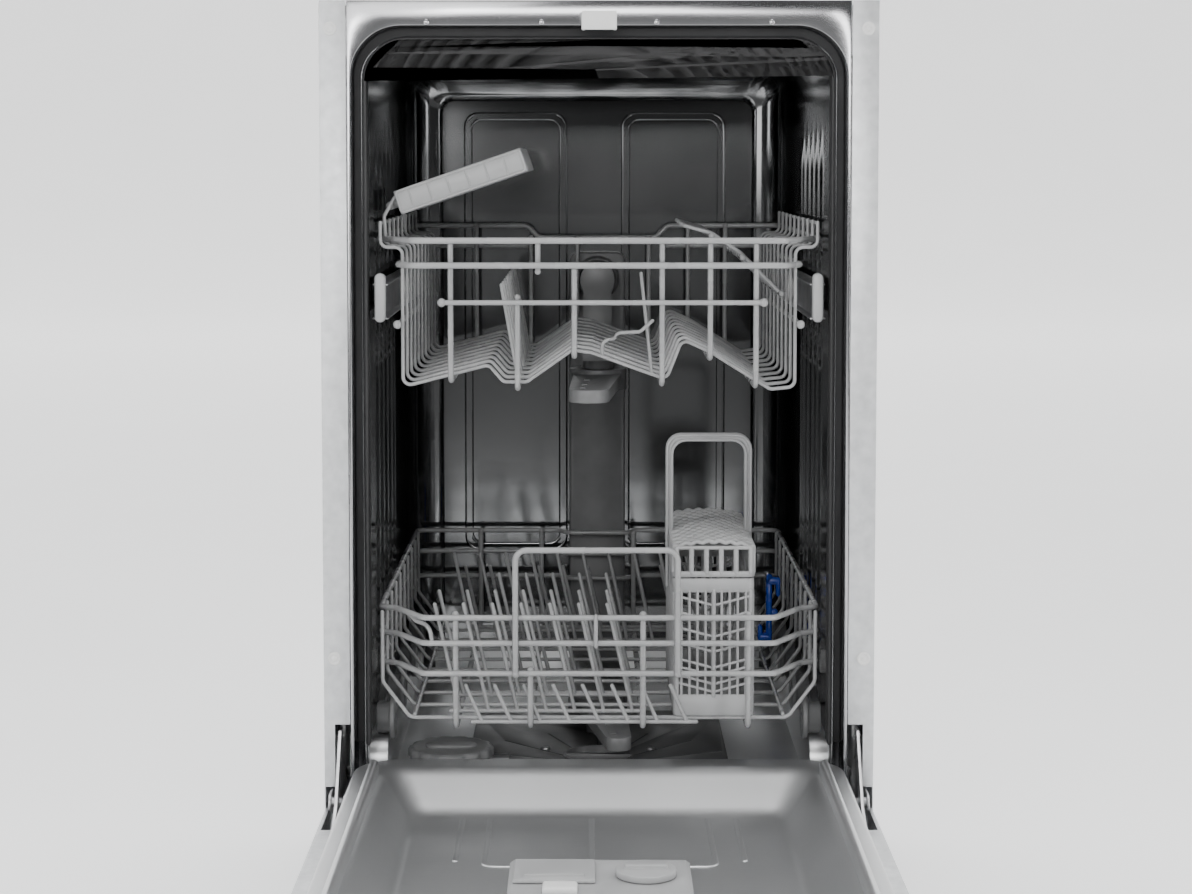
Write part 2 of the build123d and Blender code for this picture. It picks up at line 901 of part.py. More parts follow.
def filter_plate():
    wide = Pos(0, (filter_shoulder + filter_ends[1]) / 2) * Rectangle(
        2 * filter_half, filter_ends[1] - filter_shoulder
    )
    narrow = Pos((filter_half - filter_front_half) / 2, (filter_ends[0] + filter_ends[1]) / 2)
    narrow = narrow * Rectangle(filter_half + filter_front_half, filter_ends[1] - filter_ends[0])
    outline = wide + narrow
    corners = outline.vertices().group_by(Axis.Y)
    outline = fillet(corners[0] + corners[-1], filter_corner)
    outline = outline - Pos(0, well_y) * Circle(cup_radius + move_gap)
    outline = outline - Pos(0, arm_hub_y) * Circle(arm_stud_radius + 2 * seam)
    sheet = Pos(0, 0, floor_top) * extrude(outline, amount=filter_sheet)
    grooves = []
    for n in range(groove_count):
        angle = 180 / (groove_count - 1) * n
        groove = block(
            (-groove_width / 2, groove_width / 2),
            (cup_radius + groove_gap, cup_radius + groove_gap + groove_length),
            (-groove_depth, groove_depth),
        )
        grooves.append(Pos(0, well_y, filter_top) * Rot(0, 0, 90 - angle) * groove)
    return sheet - grooves


def filter_cup():
    rim = filter_top + move_gap
    bottom = well_bottom + sump_wall + move_gap
    wall = bar_z(0, well_y, (bottom, rim + cup_rim_height), cup_radius)
    inside = bar_z(0, well_y, (bottom + cup_wall, rim + cup_rim_height), cup_radius - cup_wall)
    grip = block(
        (-cup_radius + cup_wall, cup_radius - cup_wall),
        (well_y - cup_grip_width / 2, well_y + cup_grip_width / 2),
        (rim, rim + cup_rim_height),
    )
    return wall - inside + grip


def softener():
    top = floor_top - floor_sheet
    x = (-tub_half + seam, -sump_rim_half - seam)
    tank = block(x, softener_ends, (softener_bottom, top))
    neck = bar_z(salt_x, salt_y, (top, salt_cap_bottom - move_gap), salt_neck_radius)
    bore = bar_z(salt_x, salt_y, (softener_bottom + 2 * sump_wall, salt_cap_bottom), salt_bore_radius)
    return tank + neck - bore


def salt_cap():
    top = salt_cap_bottom + salt_cap_height
    head = bar_z(salt_x, salt_y, (salt_cap_bottom, top), salt_radius)
    head = chamfer(head.edges().group_by(Axis.Z)[-1], salt_cap_height / 4)
    plug = bar_z(
        salt_x, salt_y, (floor_top - 5, salt_cap_bottom), salt_bore_radius - 2 * move_gap
    )
    x, y = salt_grip_halves
    grip = block((salt_x - x, salt_x + x), (salt_y - y, salt_y + y), (top, top + salt_grip_height))
    return join([head, plug, grip])


# Spray arms

def spray_arm(bottom, thickness, tip_radius, stud_radius, through):
    outline = Circle(arm_root_radius)
    for side in (-1, 1):
        tip = Pos(0, side * (arm_reach - tip_radius)) * Circle(tip_radius)
        outline = outline + make_hull(
            [*Circle(arm_root_radius).edges(), *tip.edges()]
        )
    body = Pos(0, 0, bottom) * extrude(outline, amount=thickness)
    hub = bar_z(0, 0, (bottom - arm_hub_extra, bottom + thickness + arm_hub_extra), arm_hub_radius)
    nozzles = []
    for side in (-1, 1):
        for inset in nozzle_insets:
            x = side * tip_radius / 3
            z = (bottom + thickness, bottom + thickness + nozzle_height)
            y = side * (arm_reach - inset)
            nozzles.append(
                block(
                    (x - nozzle_side / 2, x + nozzle_side / 2),
                    (y - nozzle_side / 2, y + nozzle_side / 2),
                    z,
                )
            )
    bore_top = bottom + thickness + (2 * arm_hub_extra if through else 0)
    bore = bar_z(0, 0, (bottom - 2 * arm_hub_extra, bore_top), stud_radius + fit_gap)
    return join([body, hub] + nozzles) - bore


def placed_arm(arm, angle):
    return Pos(0, arm_hub_y, 0) * Rot(0, 0, angle) * arm


# Feed duct and the upper rack's feed pipe

def feed_duct():
    front = duct_front
    riser = block((-duct_half, duct_half), (front, tub_back - floor_sheet), (filter_top, duct_top))
    riser = fillet(riser.edges().filter_by(Axis.Y).group_by(Axis.Z)[-1], duct_half / 3)
    foot = block(
        (-duct_half, duct_half),
        (filter_ends[1] + seam, front),
        (floor_top, floor_top + duct_foot_height),
    )
    heel = block((-duct_half, duct_half), (front, tub_back - floor_sheet), (floor_top, filter_top))
    port = bar_y(0, (front - port_reach, front), port_height, port_radius)
    bore = bar_y(0, (front - port_reach, front + duct_thickness / 2), port_height, port_bore)
    return join([riser, foot, heel, port]) - bore


def feed_pipe():
    back = duct_front - port_reach - move_gap
    low = feed_pipe_middle - feed_pipe_height / 2
    high = feed_pipe_middle + feed_pipe_height / 2
    turn = upper_back - rim_wire - port_bore - riser_setback
    across = (-feed_pipe_half, feed_pipe_half)
    run = block(across, (arm_hub_y - 2 * feed_pipe_half, turn + port_bore), (low, high))
    riser = block(across, (turn, turn + port_bore), (high, port_height))
    spout = bar_y(0, (turn, back), port_height, port_bore)
    stud_low = upper_arm_bottom - arm_hub_extra - 1.0
    stud = bar_z(0, arm_hub_y, (stud_low, low), arm_stud_radius)
    nut_ends = (stud_low - stud_nut_height, stud_low)
    nut = bar_z(0, arm_hub_y, nut_ends, arm_stud_radius + stud_nut_rim)
    collar_low = upper_arm_bottom + upper_arm_thickness + arm_hub_extra + move_gap
    shoulder = bar_z(0, arm_hub_y, (collar_low, low), arm_stud_radius + stud_shoulder_rim)
    return join([run, riser, spout, stud, nut, shoulder])


# Rails and rollers

def rail():
    low = rail_middle - rail_height / 2
    high = rail_middle + rail_height / 2
    web = block((web_inner, web_outer), rail_ends, (low, high))
    foot = block((rail_inner, rail_outer), rail_ends, (low, low + rail_flange))
    head = block((rail_inner, rail_outer), rail_ends, (high - rail_flange, high))
    return join([web, foot, head])


def rail_cap():
    cap = block(
        (rail_cap_inner, rail_cap_outer),
        (rail_ends[0] - rail_cap_depth, rail_ends[0]),
        (rail_cap_bottom, rail_cap_bottom + rail_cap_height),
    )
    return chamfer(cap.edges().filter_by(Axis.Y), rail_cap_insets[1])


def roller(x, y, z, radius, pin_radius):
    return bar_x(x, y, z, radius) - bar_x(x, y, z, pin_radius + fit_gap)


# Upper basket

# Height and slope of the bent cross wire at x.
def profile_at(x):
    for (x0, z0), (x1, z1) in zip(cross_profile, cross_profile[1:]):
        if x0 <= x <= x1:
            slope = (z1 - z0) / (x1 - x0)
            return z0 + slope * (x - x0), slope
    return cross_profile[-1][1], 0.0


# Middle height of a wire that lies under the cross wires at x.
def under_profile(x, thickness):
    height, slope = profile_at(x)
    return height - touching(basket_wire, thickness) * hypot(1, slope)


def upper_cross_wire(y):
    side = [(upper_jog_half, upper_top_height), (upper_jog_half, upper_jog_height)]
    left = [(-x, z) for x, z in side] + [(-upper_side_half, upper_jog_height)]
    right = [(upper_side_half, upper_jog_height)] + side[::-1]
    return wire([(x, y, z) for x, z in left + cross_profile + right], basket_wire)


# Half of the rim, from the middle of the front round to the middle of the back.
def upper_rim_half_path():
    z = upper_rim_height
    return [
        (0, upper_front, z),
        (upper_front_half, upper_front, z),
        (upper_rim_half, upper_diagonal_end, z),
        (upper_rim_half, upper_back, z),
        (back_step_half, upper_back, z),
        (back_step_half - back_step_drop, upper_back, z - back_step_drop),
        (0, upper_back, z - back_step_drop),
    ]


def second_rim_half_path():
    z = upper_second_height
    x = upper_side_half + touching(basket_wire, rim_wire)
    along, deep = second_rim_corner
    return [
        (0, upper_front, z),
        (x - along, upper_front, z),
        (x, upper_front + deep, z),
        (x, upper_back, z),
    ]


def upper_upright(x):
    low = under_profile(x, rim_wire)
    front = upper_front + touching(rim_wire, rim_wire)
    back = upper_back - touching(rim_wire, rim_wire)
    stepped = abs(x) < back_step_half - back_step_drop
    back_top = upper_rim_height - (back_step_drop if stepped else 0)
    points = [(x, front, upper_rim_height), (x, front, low), (x, back, low), (x, back, back_top)]
    return wire(points, rim_wire)


# One tine in each gap between the cross wires.
def upper_tines():
    base = under_profile(upper_tine_x, rim_wire)
    lean = upper_tine_height * tan(radians(upper_tine_lean))
    places = spaced(cross_ends, cross_count)
    return [
        wire([(upper_tine_x, y, base), (upper_tine_x - lean, y, base + upper_tine_height)], basket_wire)
        for y in [(front + back) / 2 for front, back in zip(places, places[1:])]
    ]


# Plate and pin that carry a rack roller, hung on the outside of the basket's side wire.
def roller_carrier(y):
    middle = upper_side_half + touching(basket_wire, basket_wire)
    inner = middle + basket_wire * square_share / 2
    low = upper_side_wire_height - basket_wire * square_share / 2
    sheet = block(
        (inner, inner + carrier_sheet),
        (y - carrier_length / 2, y + carrier_length / 2),
        (low, low + carrier_height),
    )
    pin = bar_x((inner + carrier_sheet, web_inner - move_gap), y, rail_middle, roller_pin_radius)
    return sheet + pin


# The wire shelf's eyes are welded to the second and the seventh of the cross wires.
def glass_eye_places():
    places = spaced(cross_ends, cross_count)
    return places[1], places[-4]


# Eye that holds a shelf's hinge pin.
def shelf_eye(x, y, z, reach):
    ends = (y - shelf_eye_width / 2, y + shelf_eye_width / 2)
    across = (x - shelf_eye_half, x + shelf_eye_half)
    eye = block(across, ends, (z - shelf_eye_half, z + shelf_eye_half))
    foot = block(*reach[:1], ends, reach[1])
    return eye + foot - bar_y(x, ends, z, shelf_pin_radius + fit_gap)


def upper_frame():
    side_wire = upper_side_half + touching(basket_wire, basket_wire)
    half = [
        wire(upper_rim_half_path(), rim_wire),
        wire(second_rim_half_path(), rim_wire),
    ]
    for x, z, front in (
        (upper_jog_half + basket_wire / 2, upper_top_height - 1, upper_diagonal_end),
        (side_wire, upper_side_wire_height, upper_front + rim_wire),
    ):
        half.append(wire([(x, front, z), (x, upper_back, z)], basket_wire))
    third_y = upper_front + touching(rim_wire, rim_wire) - touching(basket_wire, rim_wire)
    third = wire([(x, third_y, upper_third_height) for x in upper_third_ends], basket_wire)
    low_back = wire(
        [(x, upper_back, upper_second_height) for x in (back_step_half, upper_rim_half - upper_jog)],
        rim_wire,
    )
    eyes = [
        shelf_eye(
            cup_hinge[0],
            y,
            cup_hinge[1],
            ((-upper_jog_half - 2, cup_hinge[0] + 2), (upper_top_height - 2, cup_hinge[1] - 3)),
        )
        for y in cup_eye_places
    ]
    eyes += [
        shelf_eye(
            glass_hinge[0],
            y,
            glass_hinge[1],
            ((glass_hinge[0] + 3, upper_side_half), (glass_hinge[1] - 3, glass_hinge[1] + 3)),
        )
        for y in glass_eye_places()
    ]
    pieces = [upper_cross_wire(y) for y in spaced(cross_ends, cross_count)]
    pieces += half + [mirrored(piece) for piece in half]
    pieces += [upper_upright(x) for x in upright_places] + upper_tines()
    return join(pieces + [third, low_back, mirrored(low_back)] + eyes)


def upper_basket():
    left = basket_wire - 1 - upper_side_half
    right = glass_hinge[0] - shelf_eye_half - 2 * seam
    front = upper_front + upper_wall_depth
    back = upper_back - upper_wall_depth
    level = (upper_jog_height + upper_side_wire_height) / 2 + 2 * basket_wire
    tine_foot = under_profile(upper_tine_x, rim_wire) + upper_tine_foot
    tines = block((left, middle_upright - upper_tine_room), (front, back), (tine_foot, far))
    regions = [
        block((-far, left), (-far, far), (0, level)),
        block((-far, left), (-far, far), (level, far)),
        block((right, far), (-far, far), (0, level)),
        block((right, far), (-far, far), (level, far)),
        block((left, right), (-far, front), (0, far)),
        block((left, right), (back, far), (0, far)),
        block((left, right), (front, back), (0, far)) - tines,
        tines,
    ]
    carriers = [roller_carrier(y) for y in rack_roller_places]
    return cut_apart(upper_frame(), regions) + carriers + [mirrored(piece) for piece in carriers]


# Shelves of the upper rack, drawn flat from their hinge and then tilted

def cup_shelf():
    start = shelf_eye_half * 2**0.5 + 2 * move_gap
    y = cup_shelf_ends
    sheet = block((start, cup_shelf_length), y, (-cup_shelf_sheet / 2, cup_shelf_sheet / 2))
    edge = (-cup_shelf_edge / 2, cup_shelf_edge / 2)
    front = block((start, cup_shelf_length), (y[0], y[0] + cup_shelf_sheet), edge)
    front = chamfer(front.edges().filter_by(Axis.Y), cup_shelf_edge / 4)
    back = Pos(0, y[1] - y[0] - cup_shelf_sheet, 0) * front
    ribs = [
        block(
            (x, x + cup_shelf_sheet),
            (y[0] - cup_shelf_sheet / 2, y[0]),
            (-cup_shelf_edge / 3, cup_shelf_edge / 3),
        )
        for x in spaced((start + cup_rib_insets[0], cup_shelf_length - cup_rib_insets[1]), cup_rib_count)
    ]
    slot_ends = (start + cup_slot_insets[0], cup_shelf_length - cup_slot_insets[1])
    slots = [
        block(
            (x, x + cup_slot_width),
            (y[0] + cup_slot_margin, y[1] - cup_slot_margin),
            (-cup_shelf_sheet, cup_shelf_sheet),
        )
        for x in spaced(slot_ends, cup_slot_count)
    ]
    ears = []
    for place in spaced(y, 2):
        inward = 1 if place == y[0] else -1
        ends = sorted((place, place + inward * 3 * cup_shelf_sheet))
        ears.append(block((0, start + 2), ends, (-shelf_pin_radius, shelf_pin_radius)))
    pin = bar_y(0, y, 0, shelf_pin_radius)
    hook = block(
        (cup_shelf_length, cup_shelf_length + cup_hook[0]),
        (y[0], y[0] + cup_hook[1]),
        (-cup_hook_half, cup_hook_half),
    )
    shelf = join([sheet, front, back, hook, pin] + ribs + ears) - slots
    return Pos(cup_hinge[0], 0, cup_hinge[1]) * Rot(0, -cup_shelf_tilt, 0) * shelf


def wire_shelf():
    x, z = glass_hinge
    first, last = glass_eye_places()
    pin = bar_y(x, (first - shelf_eye_width, last + shelf_eye_width), z, shelf_pin_radius)
    bars = [
        wire([(x, y, z)] + [(x + a, y, z + b) for a, b in glass_curve], glass_wire)
        for y in spaced(glass_shelf_ends, glass_wire_count)
    ]
    a, b = glass_curve[1]
    z += b - touching(glass_wire, glass_wire)
    tie = wire([(x + a, y, z) for y in glass_shelf_ends], glass_wire)
    return join([pin, tie] + bars)


# Lower basket

def lower_rim_half_path(z):
    return [
        (0, lower_back - duct_bay_depth, z),
        (duct_bay_half - duct_bay_run, lower_back - duct_bay_depth, z),
        (duct_bay_half, lower_back, z),
        (lower_side_half, lower_back, z),
        (lower_side_half, lower_neck_depth + lower_neck_run, z),
        (lower_neck_half, lower_neck_depth, z),
        (lower_front_half, lower_front, z),
        (0, lower_front, z),
    ]


def lower_cross_wire(y):
    side_half = lower_side_half - touching(basket_wire, basket_wire)
    side = [
        (side_half, lower_rims[0]),
        (side_half, lower_shoulder_height),
        (lower_floor_half, lower_floor_height),
    ]
    points = [(-x, z) for x, z in side] + side[::-1]
    return wire([(x, y, z) for x, z in points], basket_wire)


# Height of the lengthwise wires under the floor's cross wires.
def lower_long_height():
    return lower_floor_height - touching(basket_wire, rim_wire)


def lower_upright(x):
    low = lower_long_height()
    top = lower_rims[2] if x == lower_uprights[1] else lower_rims[0]
    front = lower_front + touching(basket_wire, rim_wire)
    bay = duct_bay_depth if abs(x) < duct_bay_half + rim_wire else 0
    back = lower_back - touching(basket_wire, rim_wire) - bay
    points = [(x, front, top + 2), (x, front, low), (x, back, low), (x, back, lower_rims[0])]
    return wire(points, rim_wire)


# A row of tines on a wire of its own, which rests on the lengthwise wires.
def tine_row(y, first, count, height, lean):
    low = lower_long_height() + resting(rim_wire, tine_wire)
    shift = height * tan(radians(lean))
    last = first + tine_pitch * (count - 1)
    base = wire([(first - tine_row_end, y, low), (last + tine_row_end, y, low)], tine_wire)
    tines = [
        wire([(x, y, low), (x - shift, y, low + height)], tine_wire)
        for x in spaced((first, last), count)
    ]
    return join([base] + tines)


def rack_handle():
    z = lower_rims[2]
    y = lower_front - touching(basket_wire, rim_wire)
    left, right = loop_ends
    path = [
        (left, z),
        (left, loop_top - loop_corner),
        (left + loop_corner, loop_top),
        (right - loop_corner, loop_top),
        (right, loop_top - loop_corner),
        (right, z),
    ]
    return wire([(x, y, z) for x, z in path], rim_wire)


# Stub axle for a wheel, on a plate welded to the basket's side.
def wheel_axle(y):
    inner = lower_edge_half + basket_wire / 2 - bite
    sheet = block(
        (inner, inner + carrier_sheet),
        (y - axle_plate_half, y + axle_plate_half),
        (wheel_height - wheel_pin_radius - carrier_sheet, lower_floor_height + basket_wire),
    )
    pin = bar_x((inner, wheel_outer - wheel_cover), y, wheel_height, wheel_pin_radius)
    return sheet + pin


# Eye that rests on a lengthwise wire and holds the folding row's hinge wire.
def fold_eye(x):
    ends = (x - fold_eye_length / 2, x + fold_eye_length / 2)
    low = lower_long_height() + rim_wire * square_share / 2
    body = block(
        ends, (fold_y - fold_eye_half, fold_y + fold_eye_half), (low, fold_height_z + fold_eye_half)
    )
    return body - bar_x(ends, fold_y, fold_height_z, tine_wire / 2 + fit_gap)


def lower_frame():
    half = [wire(lower_rim_half_path(z), basket_wire) for z in lower_rims]
    half += [wheel_axle(y) for y in wheel_places]
    edge = lower_floor_height + touching(basket_wire, basket_wire)
    half.append(wire([(lower_edge_half, y, edge) for y in lower_cross_ends], basket_wire))
    pieces = [lower_cross_wire(y) for y in spaced(lower_cross_ends, lower_cross_count)]
    pieces += half + [mirrored(piece) for piece in half]
    pieces += [lower_upright(x) for x in lower_uprights]
    return join(pieces + [rack_handle()])


def lower_basket():
    side = lower_edge_half - basket_wire / 2
    front = lower_front + lower_wall_depth
    back = lower_back - duct_bay_depth - 2 * basket_wire
    top = lower_rims[0] + basket_wire
    regions = [
        block((-far, -side), (-far, far), (0, far)),
        block((side, far), (-far, far), (0, far)),
        block((-side, side), (-far, front), (0, top)),
        block((-side, side), (-far, front), (top, far)),
        block((-side, side), (back, far), (0, far)),
        block((-side, side), (front, back), (0, far)),
    ]
    rows = [tine_row(*row) for row in tine_rows]
    return cut_apart(lower_frame(), regions) + rows + [fold_eye(x) for x in lower_uprights[1:]]


# Folding tine row, its hinge wire and its blue clip

def fold_tines():
    z = fold_height_z
    shift = fold_height * tan(radians(fold_lean))
    axle = bar_x(fold_ends, fold_y, z, tine_wire / 2)
    last = fold_first + tine_pitch * (fold_count - 1)
    tines = [
        wire([(x, fold_y, z), (x - shift, fold_y, z + fold_height)], tine_wire)
        for x in spaced((fold_first, last), fold_count)
    ]
    return join([axle] + tines)


# Blue lever that is pressed on the hinge wire's right end and stands up beside the row.
def fold_clip():
    z = fold_height_z
    x = (clip_x, clip_x + clip_thickness)
    hub = bar_x(x, fold_y, z, 2 * tine_wire)
    lever = block(x, (fold_y - clip_half_depth, fold_y + clip_half_depth), (z, z + clip_height))
    toe = block(
        (x[0] - clip_thickness, x[0]),
        (fold_y - clip_half_depth, fold_y),
        [z + height for height in clip_toe],
    )
    bore = bar_x(x, fold_y, z, tine_wire / 2)
    return join([hub, lever, toe]) - bore


# Wheels: the left and right wheel of one axle line

def wheel(y):
    tread = bar_x((wheel_step, wheel_outer), y, wheel_height, wheel_tread_radius)
    flange = bar_x((wheel_inner, wheel_step), y, wheel_height, wheel_flange_radius)
    ends = (wheel_inner, wheel_outer - wheel_cover + move_gap)
    bore = bar_x(ends, y, wheel_height, wheel_pin_radius + fit_gap)
    return tread + flange - bore


# Cutlery basket: two parts that close on a seam

# Spans left between the bars of a wall.
def window_spans(along, count, bar):
    pitch = (along[1] - along[0] + bar) / count
    return [(along[0] + n * pitch, along[0] + (n + 1) * pitch - bar) for n in range(count)]


def cutlery_shell(height, windows, bar, front_count, long_count):
    x, y = cutlery_x, cutlery_y
    wall = cutlery_wall
    body = block(x, y, height)
    body = chamfer(body.edges().filter_by(Axis.Z), wall)
    inside = block((x[0] + wall, x[1] - wall), (y[0] + wall, y[1] - wall), height)
    cuts = []
    for span in window_spans((x[0] + 3 * wall, x[1] - 3 * wall), front_count, bar):
        cuts.append(block(span, (y[0] - wall, y[0] + 2 * wall), windows))
        cuts.append(block(span, (y[1] - 2 * wall, y[1] + wall), windows))
    for span in window_spans((y[0] + 3 * wall, y[1] - 3 * wall), long_count, bar):
        cuts.append(block((x[0] - wall, x[1] + wall), span, windows))
    return body, inside, cuts


# The basket's four walls and the space between them, which holds its floor or the lid's top.
def cutlery_regions():
    left, right = cutlery_x[0] + cutlery_wall, cutlery_x[1] - cutlery_wall
    front, back = cutlery_y[0] + cutlery_wall, cutlery_y[1] - cutlery_wall
    return [
        block((-far, left), (-far, far), (0, far)),
        block((right, far), (-far, far), (0, far)),
        block((left, right), (-far, front), (0, far)),
        block((left, right), (back, far), (0, far)),
        block((left, right), (front, back), (0, far)),
    ]


def cutlery_basket():
    windows = [cutlery_bottom + rise for rise in body_windows]
    body, inside, cuts = cutlery_shell(
        (cutlery_bottom, cutlery_seam), windows, bar_width, cutlery_bars, cutlery_long_bars
    )
    x = (cutlery_x[0] + 4 * cutlery_wall, cutlery_x[1] - 4 * cutlery_wall)
    ends = (cutlery_y[0] + 3 * drain_half, cutlery_y[1] - 3 * drain_half)
    drains = [
        block(x, (y - drain_half, y + drain_half), (cutlery_bottom, cutlery_bottom + cutlery_wall))
        for y in spaced(ends, drain_count)
    ]
    basket = body - Pos(0, 0, cutlery_wall) * inside - cuts - drains
    return cut_apart(basket, cutlery_regions())


def cutlery_lid():
    low = cutlery_seam + move_gap
    windows = [cutlery_seam + rise for rise in lid_windows]
    body, inside, cuts = cutlery_shell(
        (low, cutlery_top), windows, lid_bar_width, cutlery_bars, lid_long_bars
    )
    x = (cutlery_x[0] + 4 * cutlery_wall, cutlery_x[1] - 4 * cutlery_wall)
    ends = (cutlery_y[0] + 3 * drain_half, cutlery_y[1] - 3 * drain_half)
    slots = [
        block(x, (y - drain_half, y + drain_half), (cutlery_top - cutlery_wall, cutlery_top))
        for y in spaced(ends, lid_slot_count)
        if abs(y - handle_y) > handle_depth / 2 + drain_half
    ]
    lid = body - Pos(0, 0, -cutlery_wall) * inside - cuts - slots
    return cut_apart(lid, cutlery_regions())


# Two-ridged loop, moulded as one band with the ears that grip the basket's long walls, and cut
# into its legs and its top.
def cutlery_handle():
    half = (cutlery_x[1] - cutlery_x[0]) / 2 + handle_overhang
    middle = (cutlery_x[0] + cutlery_x[1]) / 2
    low = cutlery_seam - handle_grip
    outer = arch(half, low, handle_top, 3 * handle_thickness)
    inner = arch(half - handle_thickness, low, handle_top - handle_thickness, 2 * handle_thickness)
    band = slab(outer - inner, handle_y - handle_depth / 2, handle_y + handle_depth / 2)
    groove = slab(
        outer - arch(half - handle_groove, low, handle_top - handle_groove, 3 * handle_thickness),
        handle_y - handle_groove,
        handle_y + handle_groove,
    )
    body = block(
        (cutlery_x[0], cutlery_x[1]), (cutlery_y[0], cutlery_y[1]), (cutlery_bottom, cutlery_top)
    )
    bend = handle_top - 2 * handle_thickness
    regions = [
        block((-far, middle), (-far, far), (0, bend)),
        block((middle, far), (-far, far), (0, bend)),
        block((-far, far), (-far, far), (bend, far)),
    ]
    return cut_apart(Pos(middle, 0, 0) * (band - groove) - body, regions)


# Door

def recess(grow):
    rim = Pos(0, sum(recess_rim_ends) / 2, liner_rim) * Rectangle(
        2 * (recess_rim_half + grow), recess_rim_ends[0] - recess_rim_ends[1] + 2 * grow
    )
    low = liner_floor - grow
    floor = Pos(0, sum(recess_floor_ends) / 2, low) * Rectangle(
        2 * (recess_floor_half + grow), recess_floor_ends[0] - recess_floor_ends[1] + 2 * grow
    )
    rim_corner, floor_corner = recess_corners
    floor = fillet(floor.vertices(), floor_corner + grow)
    rim = fillet(rim.vertices(), rim_corner + grow)
    return loft([floor, rim])


# A box with rounded corners at the door's far end, which close into the channel's corners.
def door_box(x, y, z, corner):
    box = block(x, y, z)
    return fillet(box.edges().filter_by(Axis.Z).group_by(Axis.Y)[0], corner)


def door_liner():
    outer = door_box(
        (-liner_half, liner_half), (liner_front, liner_back), (door_top, liner_rim), liner_corner
    )
    inside = door_box(
        (-liner_half + liner_sheet, liner_half - liner_sheet),
        (liner_front + liner_sheet, liner_back - liner_sheet),
        (door_top, liner_rim - liner_sheet),
        liner_corner - liner_sheet,
    )
    track = block((track_inner, track_outer), track_ends, (liner_rim, ledge_top))
    track = chamfer(track.edges().filter_by(Axis.X).group_by(Axis.Z)[-1], track_ramp)
    shell = outer - (inside - recess(liner_sheet)) - recess(0)
    beads = []
    z = (liner_floor, liner_floor + door_bead_height)
    for x in (-door_bead_half, door_bead_half):
        beads.append(block((x, x + door_bead_width), (recess_floor_ends[0] - 12, door_bead_cross), z))
    beads.append(
        block(
            (-door_bead_half, door_bead_half + door_bead_width),
            (door_bead_cross, door_bead_cross - door_bead_width),
            z,
        )
    )
    hole = block(
        (-dispenser_half + dispenser_edge, dispenser_half - dispenser_edge),
        (dispenser_ends[0] - dispenser_edge, dispenser_ends[1] + dispenser_edge),
        (door_top - 1, liner_rim),
    )
    lock = block(
        (-lock_half - move_gap, lock_half + move_gap),
        (liner_front, liner_front + lock_depth - control_depth + control_wall + 2 * move_gap),
        (door_top, liner_rim),
    )
    return join([shell, track, mirrored(track)] + beads) - hole - lock


def door_skin():
    y = (liner_front - move_gap, liner_back)
    outer = block((-door_half, door_half), y, (door_bottom, door_top))
    inside = block(
        (-door_half + skin_sheet, door_half - skin_sheet),
        (y[0], y[1] - skin_sheet),
        (door_bottom + skin_sheet, door_top - skin_sheet),
    )
    opening = block(
        (-door_half + skin_flange, door_half - skin_flange),
        (y[0], y[1] - skin_flange / 2),
        (door_bottom + skin_sheet, door_top),
    )
    notch_x = [cabinet_half - inset for inset in skin_notch_insets]
    notch = block(notch_x, (skin_notch_front, liner_back), (door_top - 2 * skin_sheet, door_top))
    holes = []
    for x in (-panel_fixing_pitch_x / 2, panel_fixing_pitch_x / 2):
        for y_hole in (
            panel_fixing_y - panel_fixing_pitch_y / 2,
            panel_fixing_y + panel_fixing_pitch_y / 2,
        ):
            holes.append(bar_z(x, y_hole, (door_bottom, door_bottom + skin_sheet), panel_fixing_radius))
    return outer - inside - opening - notch - mirrored(notch) - holes


def control_panel():
    front = door_front
    back = liner_front - move_gap
    z = (door_bottom + skin_sheet, control_top)
    half = door_half - seam
    outer = block((-half, half), (front, back), z)
    inside = block(
        (-half + control_wall, half - control_wall),
        (front + control_wall, back),
        (z[0] + control_wall, z[1] - control_wall),
    )
    lock = block(
        (-lock_half - move_gap, lock_half + move_gap),
        (front + control_wall, back),
        (lock_bottom, liner_rim),
    )
    holes = [
        block(
            (x - button_width / 2 - move_gap, x + button_width / 2 + move_gap),
            (front, front + control_wall),
            (button_z - button_height / 2 - move_gap, button_z + button_height / 2 + move_gap),
        )
        for x in button_places
    ]
    window_z = (button_z - window_half, button_z + window_half)
    glass = block(window_x, (front, front + window_depth), window_z)
    return outer - inside - lock - holes - glass


def button(x):
    z = (button_z - button_height / 2, button_z + button_height / 2)
    cap = block(
        (x - button_width / 2, x + button_width / 2),
        (door_front - button_proud, door_front + button_depth),
        z,
    )
    return fillet(cap.edges().group_by(Axis.Y)[0], button_round)


# The lock: a low part behind the control panel and a high one in the liner's notch, with a
# throat for the striker and a tongue that stands in the striker's slot when the door is shut.
def door_lock():
    front = door_front + control_wall + move_gap
    back = front + lock_depth
    high = liner_rim - 2 * seam
    body = block((-lock_half, lock_half), (front, back), (lock_bottom, control_top))
    head = block((-lock_half, lock_half), (liner_front, back), (lock_bottom, high))
    half = striker_width / 2 + lock_side_gap
    turned = hinge_y + hinge_z
    throat_back = turned - striker_top + striker_height + lock_side_gap
    throat = block(
        (-half, half),
        (turned - striker_top - lock_side_gap, throat_back),
        (closed_plane - striker_reach - lock_side_gap, high),
    )
    middle = closed_plane - (striker_reach - striker_wall) / 2
    tongue = block(
        (-tongue_half, tongue_half),
        (throat_back - tongue_length, throat_back + seam),
        (middle - tongue_thickness / 2, middle + tongue_thickness / 2),
    )
    return body + head - throat + tongue


